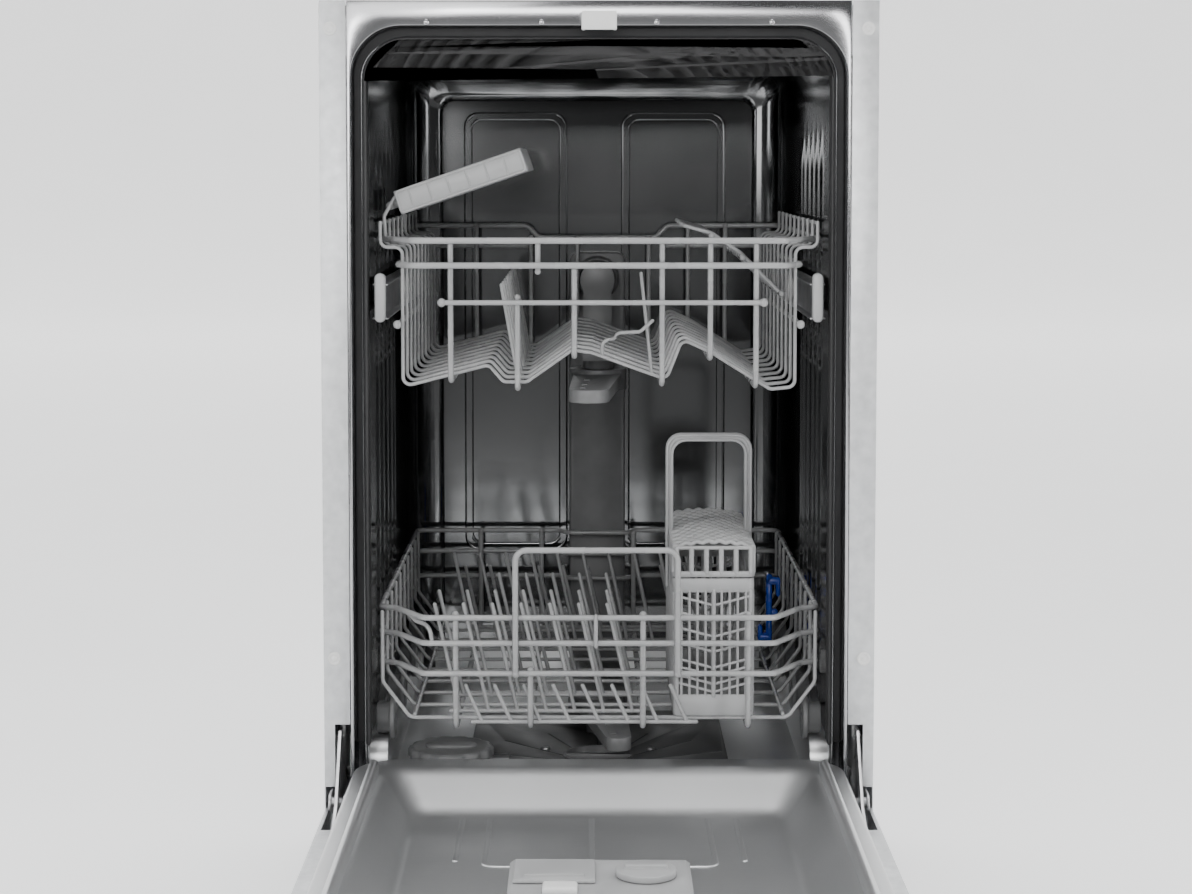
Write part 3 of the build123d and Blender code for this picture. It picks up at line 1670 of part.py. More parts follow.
# Side profile of the hinge arm, drawn in Y and Z.
def hinge_arm():
    y, z = hinge_y, hinge_z
    low, high = door_bottom + arm_margins[0], door_top - arm_margins[1]
    outline = Polygon(
        (y - arm_tail, low),
        (y - arm_tail, high),
        (y - arm_neck, high),
        (y + arm_throat[0], z + arm_throat[1]),
        (y + horn_front, z + horn_height),
        (y + horn_front + horn_back, z + horn_height),
        (y + horn_front + horn_back, z + horn_height - horn_tip),
        *[(y + along, z + rise) for along, rise in arm_back],
        (y - arm_heel, low),
        align=None,
    )
    body = plate(outline, *arm_plate_x)
    bore = bar_x(arm_plate_x, y, z, hinge_pin_radius + fit_gap)
    hook = bar_x(arm_plate_x, *horn_hole(), spring_hook_hole)
    return body - bore - hook


# Middle of the hole near the arm's tip that the spring hooks into.
def horn_hole():
    inset, drop = horn_hole_inset
    return hinge_y + horn_front + horn_back - inset, hinge_z + horn_height - drop


def hinge_bracket():
    y, z = hinge_y, hinge_z
    nose = Pos(y, z) * Circle(bracket_nose)
    neck = Pos((y + bracket_body[0] + 2) / 2, z) * Rectangle(bracket_body[0] + 2 - y, 2 * bracket_nose)
    low = bracket_foot + bracket_foot_sheet
    tower = Pos(sum(bracket_body) / 2, (low + bracket_top) / 2) * Rectangle(
        bracket_body[1] - bracket_body[0], bracket_top - low
    )
    face = nose + neck + tower
    plates = [plate(face, *ends) for ends in bracket_plates]
    foot = block(
        (bracket_plates[0][0], bracket_plates[1][1]),
        (tray_ends[0] + tray_wall + 1, bracket_body[1]),
        (bracket_foot, bracket_foot + bracket_foot_sheet),
    )
    pin = bar_x((bracket_plates[0][0], bracket_plates[1][1]), y, z, hinge_pin_radius)
    return join(plates + [foot, pin])


def door_spring():
    y0, z0 = horn_hole()
    start, end = Vector(spring_x, y0, z0), Vector(spring_x, spring_end_y, spring_end_z)
    along = end - start
    coil = wire([start + along * share for share in spring_coil_span], 2 * spring_radius)
    stem = wire([start, end], 2 * spring_hook_radius)
    hook = wire([(arm_plate_x[0] - seam, y0, z0), (spring_x, y0, z0)], 2 * spring_hook_radius)
    return join([coil, stem, hook])


# Base

def foot_boss(x, y):
    return block(
        (x - foot_boss_half, x + foot_boss_half),
        (y - foot_boss_half, y + foot_boss_half),
        (tray_bottom, foot_stem_top + tray_wall),
    )


def base_tray():
    outer = block((-tray_half, tray_half), tray_ends, (tray_bottom, tray_top))
    inside = block(
        (-tray_half + tray_wall, tray_half - tray_wall),
        (tray_ends[0] + tray_wall, tray_ends[1] - tray_wall),
        (tray_bottom + tray_wall, tray_top),
    )
    feet = ((-front_foot_x, front_foot_y), (front_foot_x, front_foot_y), (0, rear_foot_y))
    posts = [
        block(
            (side * post_x - post_side / 2, side * post_x + post_side / 2),
            (y - post_side / 2, y + post_side / 2),
            (tray_bottom, floor_top - floor_sheet),
        )
        for side, y in post_places
    ]
    pads = [
        block(
            (cabinet_half - pad_inset, tray_half - tray_wall),
            (tray_ends[0] + tray_wall, pad_back),
            (tray_bottom, bracket_foot),
        )
    ]
    clips = [
        block((x - kick_clip_half, x + kick_clip_half), (kick_y + kick_sheet, tray_ends[0]), kick_clip_z)
        for x in (-kick_clip_x, kick_clip_x)
    ]
    hooks = [
        block(
            (sum(arm_plate_x) / 2, tray_half - tray_wall),
            (spring_end_y + spring_hook_radius, spring_end_y + 10),
            (tray_bottom + tray_wall, spring_end_z + 8),
        )
    ]
    spigot = bar_y(drain_x, (tray_ends[1], tray_ends[1] + drain_length), inlet_z, drain_radius)
    tail = bar_y(drain_x, (tray_ends[1] - drain_body, tray_ends[1]), inlet_z, drain_radius + 4)
    bores = [bar_z(x, y, (tray_bottom, foot_stem_top), foot_stem_radius + fit_gap) for x, y in feet]
    valve = bar_y(inlet_x, (tray_ends[1] - tray_wall, tray_ends[1]), inlet_z, inlet_neck_radius + seam)
    gland = bar_y(
        sum(box_x) / 2, (tray_ends[1] - tray_wall, tray_ends[1]), sum(box_z) / 2, gland_radius + seam
    )
    solid = join(
        [outer - inside]
        + [foot_boss(x, y) for x, y in feet]
        + posts
        + pads
        + [mirrored(pad) for pad in pads]
        + clips
        + hooks
        + [mirrored(hook) for hook in hooks]
        + [tail, spigot]
    )
    return solid - bores - valve - gland


def kick_plate():
    half = tray_half - 1
    sheet = block((-half, half), (kick_y, kick_y + kick_sheet), kick_z)
    lip_z = (kick_z[1] - kick_sheet, kick_z[1])
    lip = block((-half, half), (kick_y + kick_sheet, kick_y + kick_lip), lip_z)
    return sheet + lip


def foot(x, y):
    disc = bar_z(x, y, (0, foot_height), foot_radius)
    disc = chamfer(disc.edges().group_by(Axis.Z)[-1], foot_height / 3)
    nut = Pos(x, y, foot_height) * extrude(
        RegularPolygon(foot_nut_radius, 6), amount=foot_nut_height
    )
    stem = bar_z(x, y, (foot_height, foot_stem_top - 4), foot_stem_radius)
    return join([disc, nut, stem])


def wash_pump():
    front = sump_ends[1] + move_gap
    back = front + volute_length
    motor = bar_y(pump_x, (back, back + pump_length), pump_z, pump_radius)
    volute = bar_y(pump_x, (front, back), pump_z, pump_radius + volute_rim)
    neck = block(
        (pump_x - pump_neck_half, pump_x + pump_neck_half),
        (front, back),
        (pump_z, floor_top - floor_sheet - sump_wall - seam),
    )
    cradle = block(
        (pump_x - pump_cradle_half, pump_x + pump_cradle_half),
        (back + pump_cradle_insets[0], back + pump_length - pump_cradle_insets[1]),
        (tray_bottom + tray_wall, pump_z - pump_radius / 2),
    )
    return join([volute, motor, neck, cradle])


def drain_pump():
    left = well_radius + sump_wall
    turn = left + drain_neck_length
    body = bar_x((turn, turn + drain_pump_length), well_y, drain_pump_z, drain_pump_radius)
    neck = bar_x((left - 2, turn), well_y, well_bottom + drain_neck_rise, drain_neck_radius)
    foot_block = block(
        (turn + drain_foot_half, turn + drain_pump_length - drain_foot_half / 2),
        (well_y - drain_foot_half, well_y + drain_foot_half),
        (tray_bottom + tray_wall, drain_pump_z - drain_pump_radius / 2),
    )
    well = bar_z(0, well_y, (well_bottom - 1, sump_bottom + drain_neck_rise), left)
    return join([body, neck, foot_block]) - well


def inlet_valve():
    wall = tray_ends[1]
    thread = bar_y(inlet_x, (wall, wall + inlet_length), inlet_z, inlet_radius)
    neck = bar_y(inlet_x, (wall - tray_wall, wall), inlet_z, inlet_neck_radius)
    port = bar_y(inlet_x, (wall, wall + inlet_length), inlet_z, inlet_bore)
    half = inlet_body / 2
    body = block(
        (inlet_x - half, inlet_x + half),
        (wall - tray_wall - inlet_depth, wall - tray_wall),
        (inlet_z - half, inlet_z + half),
    )
    coil = block(
        (inlet_x - inlet_coil_half, inlet_x + inlet_coil_half),
        (wall - tray_wall - inlet_depth, wall - tray_wall),
        (inlet_z + half, inlet_z + half + 2 * inlet_coil_half),
    )
    leg = block(
        (inlet_x - inlet_leg_half, inlet_x + inlet_leg_half),
        (wall - tray_wall - inlet_depth, wall - tray_wall - inlet_leg_half),
        (tray_bottom + tray_wall, inlet_z),
    )
    return join([thread, neck, body, coil, leg]) - port


def terminal_box():
    wall = tray_ends[1] - tray_wall
    body = block(box_x, (wall - box_depth, wall), box_z)
    leg = block(
        (box_x[0] + box_leg_inset, box_x[1] - box_leg_inset),
        (wall - box_leg_y[1], wall - box_leg_y[0]),
        (tray_bottom + tray_wall, box_z[0]),
    )
    gland = bar_y(sum(box_x) / 2, (wall, wall + gland_length), sum(box_z) / 2, gland_radius)
    bore = bar_y(sum(box_x) / 2, (wall, wall + gland_length), sum(box_z) / 2, gland_radius / 2)
    return join([body, leg, gland]) - bore


def air_break():
    body = block(air_break_x, air_break_y, air_break_z)
    body = chamfer(body.edges().filter_by(Axis.X), air_break_corner)
    rib_span = (air_break_z[0] + air_rib_insets[1], air_break_z[1] - air_rib_insets[1])
    ribs = [
        block(
            (air_break_x[1], air_break_x[1] + air_rib_depth),
            (air_break_y[0] + air_rib_insets[0], air_break_y[1] - air_rib_insets[0]),
            (z, z + air_break_rib),
        )
        for z in spaced(rib_span, air_rib_count)
    ]
    setback, length, radius = air_stub
    stub = bar_z(
        sum(air_break_x) / 2, air_break_y[0] + setback, (air_break_z[0] - length, air_break_z[0]), radius
    )
    return join([body, stub] + ribs)


# Dispenser in the door

def dispenser():
    half = dispenser_half
    plate_body = block((-half, half), dispenser_ends, (liner_floor, dispenser_top))
    plate_body = chamfer(plate_body.edges().group_by(Axis.Z)[-1], dispenser_bevel)
    tub_body = block(
        (-half + dispenser_edge + move_gap, half - dispenser_edge - move_gap),
        (dispenser_ends[0] - dispenser_edge - move_gap, dispenser_ends[1] + dispenser_edge + move_gap),
        (dispenser_bottom, liner_floor),
    )
    chamber = block(chamber_x, chamber_y, (chamber_bottom, dispenser_top))
    pocket = block(
        (tab_x[0] - move_gap, tab_x[1] + move_gap),
        (tab_y[0] - move_gap, tab_y[1] + move_gap),
        (dispenser_top - tab_pocket_depth, dispenser_top),
    )
    rinse_low = dispenser_top - rinse_plug_depth - 1
    rinse = bar_z(rinse_x, rinse_y, (rinse_low, dispenser_top), rinse_plug_radius + move_gap)
    dish = block(
        (chamber_x[1] + dish_margin, dispenser_half - dish_margin),
        dish_ends,
        (dispenser_top - dish_depth, dispenser_top),
    )
    return join([plate_body, tub_body]) - chamber - pocket - rinse - dish


def detergent_lid():
    x = (chamber_x[0] - lid_overlap, chamber_x[1] + lid_overlap)
    y = (chamber_y[0] - lid_overlap, chamber_y[1] + lid_overlap)
    low = dispenser_top + move_gap
    lid = block(x, y, (low, low + lid_thickness))
    lid = chamfer(lid.edges().group_by(Axis.Z)[-1], lid_edge)
    grip = block(
        (x[0] + lid_grip_inset, x[1] - lid_grip_inset),
        [y[0] + place for place in lid_grip_y],
        (low + lid_thickness, low + lid_thickness + lid_grip_height),
    )
    return lid + grip


def latch_tab():
    tab = block(tab_x, tab_y, (dispenser_top - 2, dispenser_top + tab_height))
    return chamfer(tab.edges().group_by(Axis.Z)[-1], tab_edge)


def rinse_cap():
    low = dispenser_top + move_gap
    head = bar_z(rinse_x, rinse_y, (low, low + rinse_height), rinse_radius)
    plug = bar_z(rinse_x, rinse_y, (dispenser_top - rinse_plug_depth, low), rinse_plug_radius)
    grip = block(
        (rinse_x - rinse_grip[0], rinse_x + rinse_grip[0]),
        (rinse_y - rinse_grip[1], rinse_y + rinse_grip[1]),
        (low + rinse_height, low + rinse_height + rinse_grip_height),
    )
    return join([head, plug, grip])


cabinet = {
    "side_panel_right": [side_panel()],
    "side_panel_left": [mirrored(side_panel())],
    "flange_caps": flange_caps(),
    "tub_collar": [collar()],
    "door_gasket": [gasket(), sill_seal()],
    "latch_striker": [striker()],
    "tub_wrap": [tub_wrap()],
    "tub_back": [tub_back_wall()],
    "tub_floor": [tub_floor()],
    "sump": [sump()],
    "filter_plate": [filter_plate()],
    "filter_cup": [filter_cup()],
    "softener": [softener()],
    "salt_cap": [salt_cap()],
    "feed_duct": [feed_duct()],
    "hinge_brackets": [hinge_bracket(), mirrored(hinge_bracket())],
    "door_springs": [door_spring(), mirrored(door_spring())],
    "base_tray": [base_tray()],
    "kick_plate": [kick_plate()],
    "foot_front_left": [foot(-front_foot_x, front_foot_y)],
    "foot_front_right": [foot(front_foot_x, front_foot_y)],
    "foot_rear": [foot(0, rear_foot_y)],
    "wash_pump": [wash_pump()],
    "drain_pump": [drain_pump()],
    "inlet_valve": [inlet_valve()],
    "terminal_box": [terminal_box()],
    "air_break": [air_break()],
}
for name, pieces in cabinet.items():
    save(name, *pieces)

lower_arm = spray_arm(
    lower_arm_bottom, lower_arm_thickness, lower_tip_radius, arm_stud_radius, False
)
upper_arm = spray_arm(
    upper_arm_bottom, upper_arm_thickness, upper_tip_radius, arm_stud_radius, True
)
save("lower_arm", placed_arm(lower_arm, lower_arm_angle))
save("upper_arm", placed_arm(upper_arm, upper_arm_angle))

save("upper_rails", rail(), mirrored(rail()))
save("rail_caps", rail_cap(), mirrored(rail_cap()))
for name, y in zip(("front", "rear"), wall_roller_places):
    piece = roller((web_outer + move_gap, rail_outer), y, rail_middle, roller_radius, roller_pin_radius)
    save(f"wall_rollers_{name}", piece, mirrored(piece))
for name, y in zip(("front", "rear"), rack_roller_places):
    piece = roller((rail_inner, web_inner - move_gap), y, rail_middle, roller_radius, roller_pin_radius)
    save(f"rack_rollers_{name}", piece, mirrored(piece))
save("upper_basket", *upper_basket())
save("upper_feed_pipe", feed_pipe())
save("cup_shelf", cup_shelf())
save("wire_shelf", wire_shelf())

save("lower_basket", *lower_basket())
for n, y in enumerate(wheel_places):
    save(f"lower_wheels_{n + 1}", wheel(y), mirrored(wheel(y)))
save("fold_tines", fold_tines())
save("fold_clip", fold_clip())
save("cutlery_basket", *cutlery_basket(), *cutlery_handle())
save("cutlery_lid", *cutlery_lid())

save("door_liner", door_liner())
save("door_skin", door_skin())
save("control_panel", control_panel())
save("door_lock", door_lock())
save("hinge_arms", hinge_arm(), mirrored(hinge_arm()))
save("dispenser", dispenser())
save("detergent_lid", detergent_lid())
save("latch_tab", latch_tab())
save("rinse_cap", rinse_cap())
for name, x in zip(("power", "program", "start"), button_places):
    save(f"button_{name}", button(x))
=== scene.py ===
import bpy
import bmesh
import json
import math
from mathutils import Matrix, Vector
from types import SimpleNamespace as Look


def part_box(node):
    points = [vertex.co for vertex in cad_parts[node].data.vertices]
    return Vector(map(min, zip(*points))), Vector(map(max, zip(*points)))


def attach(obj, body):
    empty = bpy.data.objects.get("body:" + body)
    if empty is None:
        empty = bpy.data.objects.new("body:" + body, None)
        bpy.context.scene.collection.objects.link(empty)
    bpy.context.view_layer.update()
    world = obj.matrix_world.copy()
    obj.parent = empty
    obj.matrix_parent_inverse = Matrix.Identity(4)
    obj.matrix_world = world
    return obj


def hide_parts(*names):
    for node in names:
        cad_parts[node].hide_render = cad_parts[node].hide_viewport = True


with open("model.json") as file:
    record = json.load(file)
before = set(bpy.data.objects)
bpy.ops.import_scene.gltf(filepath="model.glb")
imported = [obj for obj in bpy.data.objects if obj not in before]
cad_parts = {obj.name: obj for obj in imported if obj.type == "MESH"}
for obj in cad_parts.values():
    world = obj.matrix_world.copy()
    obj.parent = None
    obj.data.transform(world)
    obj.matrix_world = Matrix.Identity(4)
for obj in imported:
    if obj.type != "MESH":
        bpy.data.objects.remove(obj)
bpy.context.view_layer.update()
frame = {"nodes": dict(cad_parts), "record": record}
cad = frame["nodes"]
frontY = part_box("side_panel_left")[0].y  # front faces of the cabinet's flanges
print("frame loaded,", len(cad), "nodes")


# The object's sizes are in millimetres, from the middle, the flanges' front and the floor.
# The room's are in metres.
def at(x, y, z):
    return Vector((x / 1000, frontY + y / 1000, z / 1000))


def mm(value):
    return value / 1000


# Materials

def newTree(name):
    material = bpy.data.materials.new(name)
    material.use_nodes = True
    tree = material.node_tree
    shader = tree.nodes["Principled BSDF"]
    return material, tree, shader


def addNode(tree, kind, inputs=None, **settings):
    node = tree.nodes.new(kind)
    for key, value in settings.items():
        setattr(node, key, value)
    for key, value in (inputs or {}).items():
        node.inputs[key].default_value = value
    return node


# A noise that reads object coordinates, stretched by a scale for each axis.
def noiseOf(tree, stretch, scale, detail=3.0, roughness=0.55):
    coords = addNode(tree, "ShaderNodeTexCoord")
    mapping = addNode(tree, "ShaderNodeMapping", {"Scale": stretch})
    noise = addNode(tree, "ShaderNodeTexNoise", {"Scale": scale, "Detail": detail, "Roughness": roughness})
    tree.links.new(coords.outputs["Object"], mapping.inputs["Vector"])
    tree.links.new(mapping.outputs["Vector"], noise.inputs["Vector"])
    return noise


# Maps a value from one range to another.
def ranged(tree, value, before, after):
    ramp = addNode(tree, "ShaderNodeMapRange", {
        "From Min": before[0], "From Max": before[1], "To Min": after[0], "To Max": after[1],
    })
    tree.links.new(value, ramp.inputs["Value"])
    return ramp.outputs["Result"]


noiseSpan = (0.3, 0.7)  # where most values of a noise lie


def shadeBetween(tree, source, dark, light):
    mix = addNode(tree, "ShaderNodeMix", data_type="RGBA")
    mix.inputs["A"].default_value = (*dark, 1)
    mix.inputs["B"].default_value = (*light, 1)
    tree.links.new(ranged(tree, source.outputs["Fac"], noiseSpan, (0, 1)), mix.inputs["Factor"])
    return mix.outputs["Result"]


# Colour follows the first noise, roughness the second and the bump the third.
def surfaced(tree, shader, look, drift, gloss, grain, depth):
    tree.links.new(shadeBetween(tree, drift, look["dark"], look["light"]), shader.inputs["Base Color"])
    roughness = ranged(tree, gloss.outputs["Fac"], noiseSpan, look["roughness"])
    tree.links.new(roughness, shader.inputs["Roughness"])
    bump = addNode(tree, "ShaderNodeBump", {"Strength": look.get("bump", 0.12), "Distance": depth})
    tree.links.new(grain.outputs["Fac"], bump.inputs["Height"])
    tree.links.new(bump.outputs["Normal"], shader.inputs["Normal"])


# Sheet steel: blotches in the colour, brushing in the roughness and the bump.
def steelFinish(name, look):
    material, tree, shader = newTree(name)
    blotch = noiseOf(tree, (1, 1, 1), look["blotchScale"])
    brush = noiseOf(tree, look.get("brushStretch", (1, 1, 1)), look["brushScale"], 4.0, 0.7)
    surfaced(tree, shader, look, blotch, brush, brush, mm(0.4))
    shader.inputs["Metallic"].default_value = look.get("metallic", 1.0)
    return material


# Moulded or coated plastic: fine grain, a little colour drift and uneven gloss.
def plasticFinish(name, look):
    material, tree, shader = newTree(name)
    drift = noiseOf(tree, (1, 1, 1), 30.0)
    grain = noiseOf(tree, (1, 1, 1), look.get("grainScale", 1400.0), 2.0)
    surfaced(tree, shader, look, drift, drift, grain, mm(0.3))
    shader.inputs["Coat Weight"].default_value = look.get("coat", 0.0)
    shader.inputs["Coat Roughness"].default_value = 0.15
    return material


steelLooks = dict(
    galvanised=dict(
        dark=(0.62, 0.63, 0.64), light=(0.76, 0.77, 0.78), roughness=(0.34, 0.5), bump=0.15,
        blotchScale=90.0, brushScale=220.0, metallic=0.75,
    ),
    collarSteel=dict(
        dark=(0.40, 0.40, 0.41), light=(0.46, 0.46, 0.47), roughness=(0.17, 0.21), bump=0.0,
        blotchScale=3.0, brushScale=20.0, brushStretch=(1, 1, 12),
    ),
    # painted shade: the tub's stainless gets a much darker colour than bare steel, standing in for the dark
    # room it reflects
    tubSteel=dict(
        dark=(0.23, 0.233, 0.236), light=(0.27, 0.273, 0.276), roughness=(0.10, 0.12), bump=0.0,
        blotchScale=3.0, brushScale=6.0,
    ),
    # painted light: the tub floor's stainless gets a lighter colour than bare steel, so that it looks lit
    litFloorSteel=dict(
        dark=(0.76, 0.765, 0.77), light=(0.84, 0.845, 0.85), roughness=(0.36, 0.44), bump=0.0,
        blotchScale=5.0, brushScale=8.0,
    ),
    doorSteel=dict(
        dark=(0.56, 0.565, 0.57), light=(0.63, 0.635, 0.64), roughness=(0.34, 0.42), bump=0.01,
        blotchScale=4.0, brushScale=30.0, brushStretch=(1, 25, 25),
    ),
    zincSteel=dict(
        dark=(0.50, 0.50, 0.51), light=(0.64, 0.64, 0.65), roughness=(0.3, 0.45), bump=0.1,
        blotchScale=60.0, brushScale=300.0,
    ),
)
plasticLooks = dict(
    rackCoat=dict(
        dark=(0.30, 0.303, 0.306), light=(0.35, 0.353, 0.356), roughness=(0.22, 0.32), bump=0.05, coat=0.35,
    ),
    lightPlastic=dict(dark=(0.34, 0.343, 0.346), light=(0.39, 0.393, 0.396), roughness=(0.34, 0.46)),
    whitePlastic=dict(dark=(0.74, 0.74, 0.73), light=(0.80, 0.80, 0.79), roughness=(0.35, 0.48)),
    greyPlastic=dict(dark=(0.14, 0.142, 0.144), light=(0.18, 0.182, 0.184), roughness=(0.3, 0.42)),
    darkPlastic=dict(dark=(0.075, 0.076, 0.078), light=(0.10, 0.101, 0.103), roughness=(0.3, 0.42)),
    bluePlastic=dict(dark=(0.012, 0.07, 0.55), light=(0.02, 0.10, 0.72), roughness=(0.2, 0.3), coat=0.4),
    gasketRubber=dict(
        dark=(0.022, 0.022, 0.023), light=(0.035, 0.035, 0.036), roughness=(0.45, 0.6), bump=0.3,
        grainScale=900.0,
    ),
    panelBlack=dict(
        dark=(0.012, 0.012, 0.013), light=(0.018, 0.018, 0.019), roughness=(0.12, 0.2), bump=0.02, coat=0.6,
    ),
    pumpPlastic=dict(dark=(0.07, 0.072, 0.075), light=(0.10, 0.102, 0.105), roughness=(0.45, 0.6)),
    milkyPlastic=dict(dark=(0.62, 0.66, 0.68), light=(0.70, 0.73, 0.75), roughness=(0.25, 0.35), coat=0.3),
)
paint = {name: steelFinish(name, look) for name, look in steelLooks.items()}
paint.update({name: plasticFinish(name, look) for name, look in plasticLooks.items()})
slotPaint = dict(
    galvanised_sheet="galvanised", collar_steel="collarSteel", tub_steel="tubSteel",
    door_steel="doorSteel", hinge_steel="zincSteel", gasket_rubber="gasketRubber",
    rack_coating="rackCoat", light_plastic="lightPlastic", white_plastic="whitePlastic",
    grey_plastic="greyPlastic", dark_plastic="darkPlastic", blue_plastic="bluePlastic",
    panel_black="panelBlack", pump_casing="pumpPlastic", clear_plastic="milkyPlastic",
)
for part in frame["record"]["subparts"]:
    shown = cad[part["node"]]
    shown.data.materials.clear()
    shown.data.materials.append(paint[slotPaint[part["material_slot"]]])
print("materials ready,", len(paint))


# Makers of pieces

def meshPiece(name, points, edges=(), faces=()):
    mesh = bpy.data.meshes.new(name)
    mesh.from_pydata([tuple(point) for point in points], list(edges), list(faces))
    piece = bpy.data.objects.new(name, mesh)
    bpy.context.scene.collection.objects.link(piece)
    return piece


def groupOf(name, sockets):
    tree = bpy.data.node_groups.new(name, "GeometryNodeTree")
    tree.interface.new_socket("Geometry", in_out="INPUT", socket_type="NodeSocketGeometry")
    for label, kind, value in sockets:
        socket = tree.interface.new_socket(label, in_out="INPUT", socket_type="NodeSocket" + kind)
        if value is not None:
            socket.default_value = value
    tree.interface.new_socket("Geometry", in_out="OUTPUT", socket_type="NodeSocketGeometry")
    return tree, tree.nodes.new("NodeGroupInput"), tree.nodes.new("NodeGroupOutput")


# Keeps what a piece's modifiers make of it as a plain mesh.
def baked(piece):
    piece.update_tag()
    graph = bpy.context.evaluated_depsgraph_get()
    solid = bpy.data.meshes.new_from_object(piece.evaluated_get(graph))
    piece.modifiers.clear()
    piece.data = solid
    return piece


# Runs a node group on a piece and keeps the result.
def grown(piece, tree, values):
    modifier = piece.modifiers.new("nodes", "NODES")
    modifier.node_group = tree
    names = {item.name: item.identifier for item in tree.interface.items_tree if item.in_out == "INPUT"}
    for label, value in values.items():
        modifier[names[label]] = value
    source = piece.data
    baked(piece)
    bpy.data.meshes.remove(source)
    return piece


# Wire bent along the edges of a mesh, rounded at its corners and tips, and repeated in even steps.
def wireGroup():
    tree, source, target = groupOf("bentWire", (
        ("Radius", "Float", 0.002), ("Bend", "Float", 0.006), ("Tip", "Float", 0.002), ("Sides", "Int", 12),
        ("Open", "Bool", True), ("Count", "Int", 1), ("Step", "Vector", (0, 0, 0)),
    ))
    curve = addNode(tree, "GeometryNodeMeshToCurve")
    fillet = addNode(tree, "GeometryNodeFilletCurve", {"Count": 5, "Limit Radius": True}, mode="POLY")
    circle = addNode(tree, "GeometryNodeCurvePrimitiveCircle")
    tube = addNode(tree, "GeometryNodeCurveToMesh", {"Fill Caps": True})
    ends = addNode(tree, "GeometryNodeCurveEndpointSelection")
    tipped = addNode(tree, "FunctionNodeBooleanMath", operation="AND")
    ball = addNode(tree, "GeometryNodeMeshUVSphere", {"Segments": 12, "Rings": 8})
    tips = addNode(tree, "GeometryNodeInstanceOnPoints")
    both = addNode(tree, "GeometryNodeJoinGeometry")
    line = addNode(tree, "GeometryNodeMeshLine", mode="OFFSET")
    copies = addNode(tree, "GeometryNodeInstanceOnPoints")
    real = addNode(tree, "GeometryNodeRealizeInstances")
    smooth = addNode(tree, "GeometryNodeSetShadeSmooth")
    for start, output, end, entry in (
        (source, "Geometry", curve, "Mesh"), (curve, "Curve", fillet, "Curve"),
        (source, "Bend", fillet, "Radius"), (source, "Radius", circle, "Radius"),
        (source, "Sides", circle, "Resolution"), (fillet, "Curve", tube, "Curve"),
        (circle, "Curve", tube, "Profile Curve"), (source, "Tip", ball, "Radius"),
        (fillet, "Curve", tips, "Points"), (ends, "Selection", tipped, 0), (source, "Open", tipped, 1),
        (tipped, "Boolean", tips, "Selection"), (ball, "Mesh", tips, "Instance"),
        (tube, "Mesh", both, "Geometry"), (tips, "Instances", both, "Geometry"),
        (source, "Count", line, "Count"), (source, "Step", line, "Offset"),
        (line, "Mesh", copies, "Points"), (both, "Geometry", copies, "Instance"),
        (copies, "Instances", real, "Geometry"), (real, "Geometry", smooth, "Geometry"),
        (smooth, "Geometry", target, "Geometry"),
    ):
        tree.links.new(start.outputs[output], end.inputs[entry])
    return tree


wireNodes = wireGroup()


# Gives a piece one finish all over.
def painted(piece, finish):
    piece.data.materials.clear()
    piece.data.materials.append(finish)
    for polygon in piece.data.polygons:
        polygon.material_index = 0
    return piece


# Wires along routes of points in millimetres, as one mesh piece; rack-coated if no paint is named.
def wires(routes, look, closed=False, count=1, step=(0, 0, 0)):
    points, edges = [], []
    for route in routes:
        first = len(points)
        points += [at(*point) for point in route]
        edges += [(first + n, first + n + 1) for n in range(len(route) - 1)]
        if closed:
            edges.append((len(points) - 1, first))
    values = {
        "Radius": mm(look["radius"]), "Bend": mm(look["bend"]), "Tip": mm(look.get("tip", look["radius"])),
        "Sides": look.get("sides", 12), "Open": not closed,
        "Count": count, "Step": tuple(mm(value) for value in step),
    }
    piece = grown(meshPiece("wire", points, edges), wireNodes, values)
    return painted(piece, paint[look.get("paint", "rackCoat")])


# Joins mesh pieces into a single piece, in the finish of the first that has one.
def merged(name, pieces):
    whole = bmesh.new()
    finish = next(material for piece in pieces for material in piece.data.materials if material)
    for piece in pieces:
        whole.from_mesh(piece.data)
        bpy.data.objects.remove(piece)
    joined = meshPiece(name, [])
    whole.to_mesh(joined.data)
    whole.free()
    return painted(joined, finish)


# Hands a finished piece to its body and hides the nodes that it stands for.
def placed(piece, body, slot, *nodes):
    piece.data.name = piece.name
    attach(piece, body)
    if nodes:
        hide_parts(*nodes)
    return piece


def spacedOut(ends, count):
    return [ends[0] + (ends[1] - ends[0]) * n / (count - 1) for n in range(count)]


def mirroredRoute(route):
    return [(-x, y, z) for x, y, z in route]


# A closed loop from its right half.
def wholeLoop(half):
    return half + mirroredRoute(half[::-1])


# Upper basket

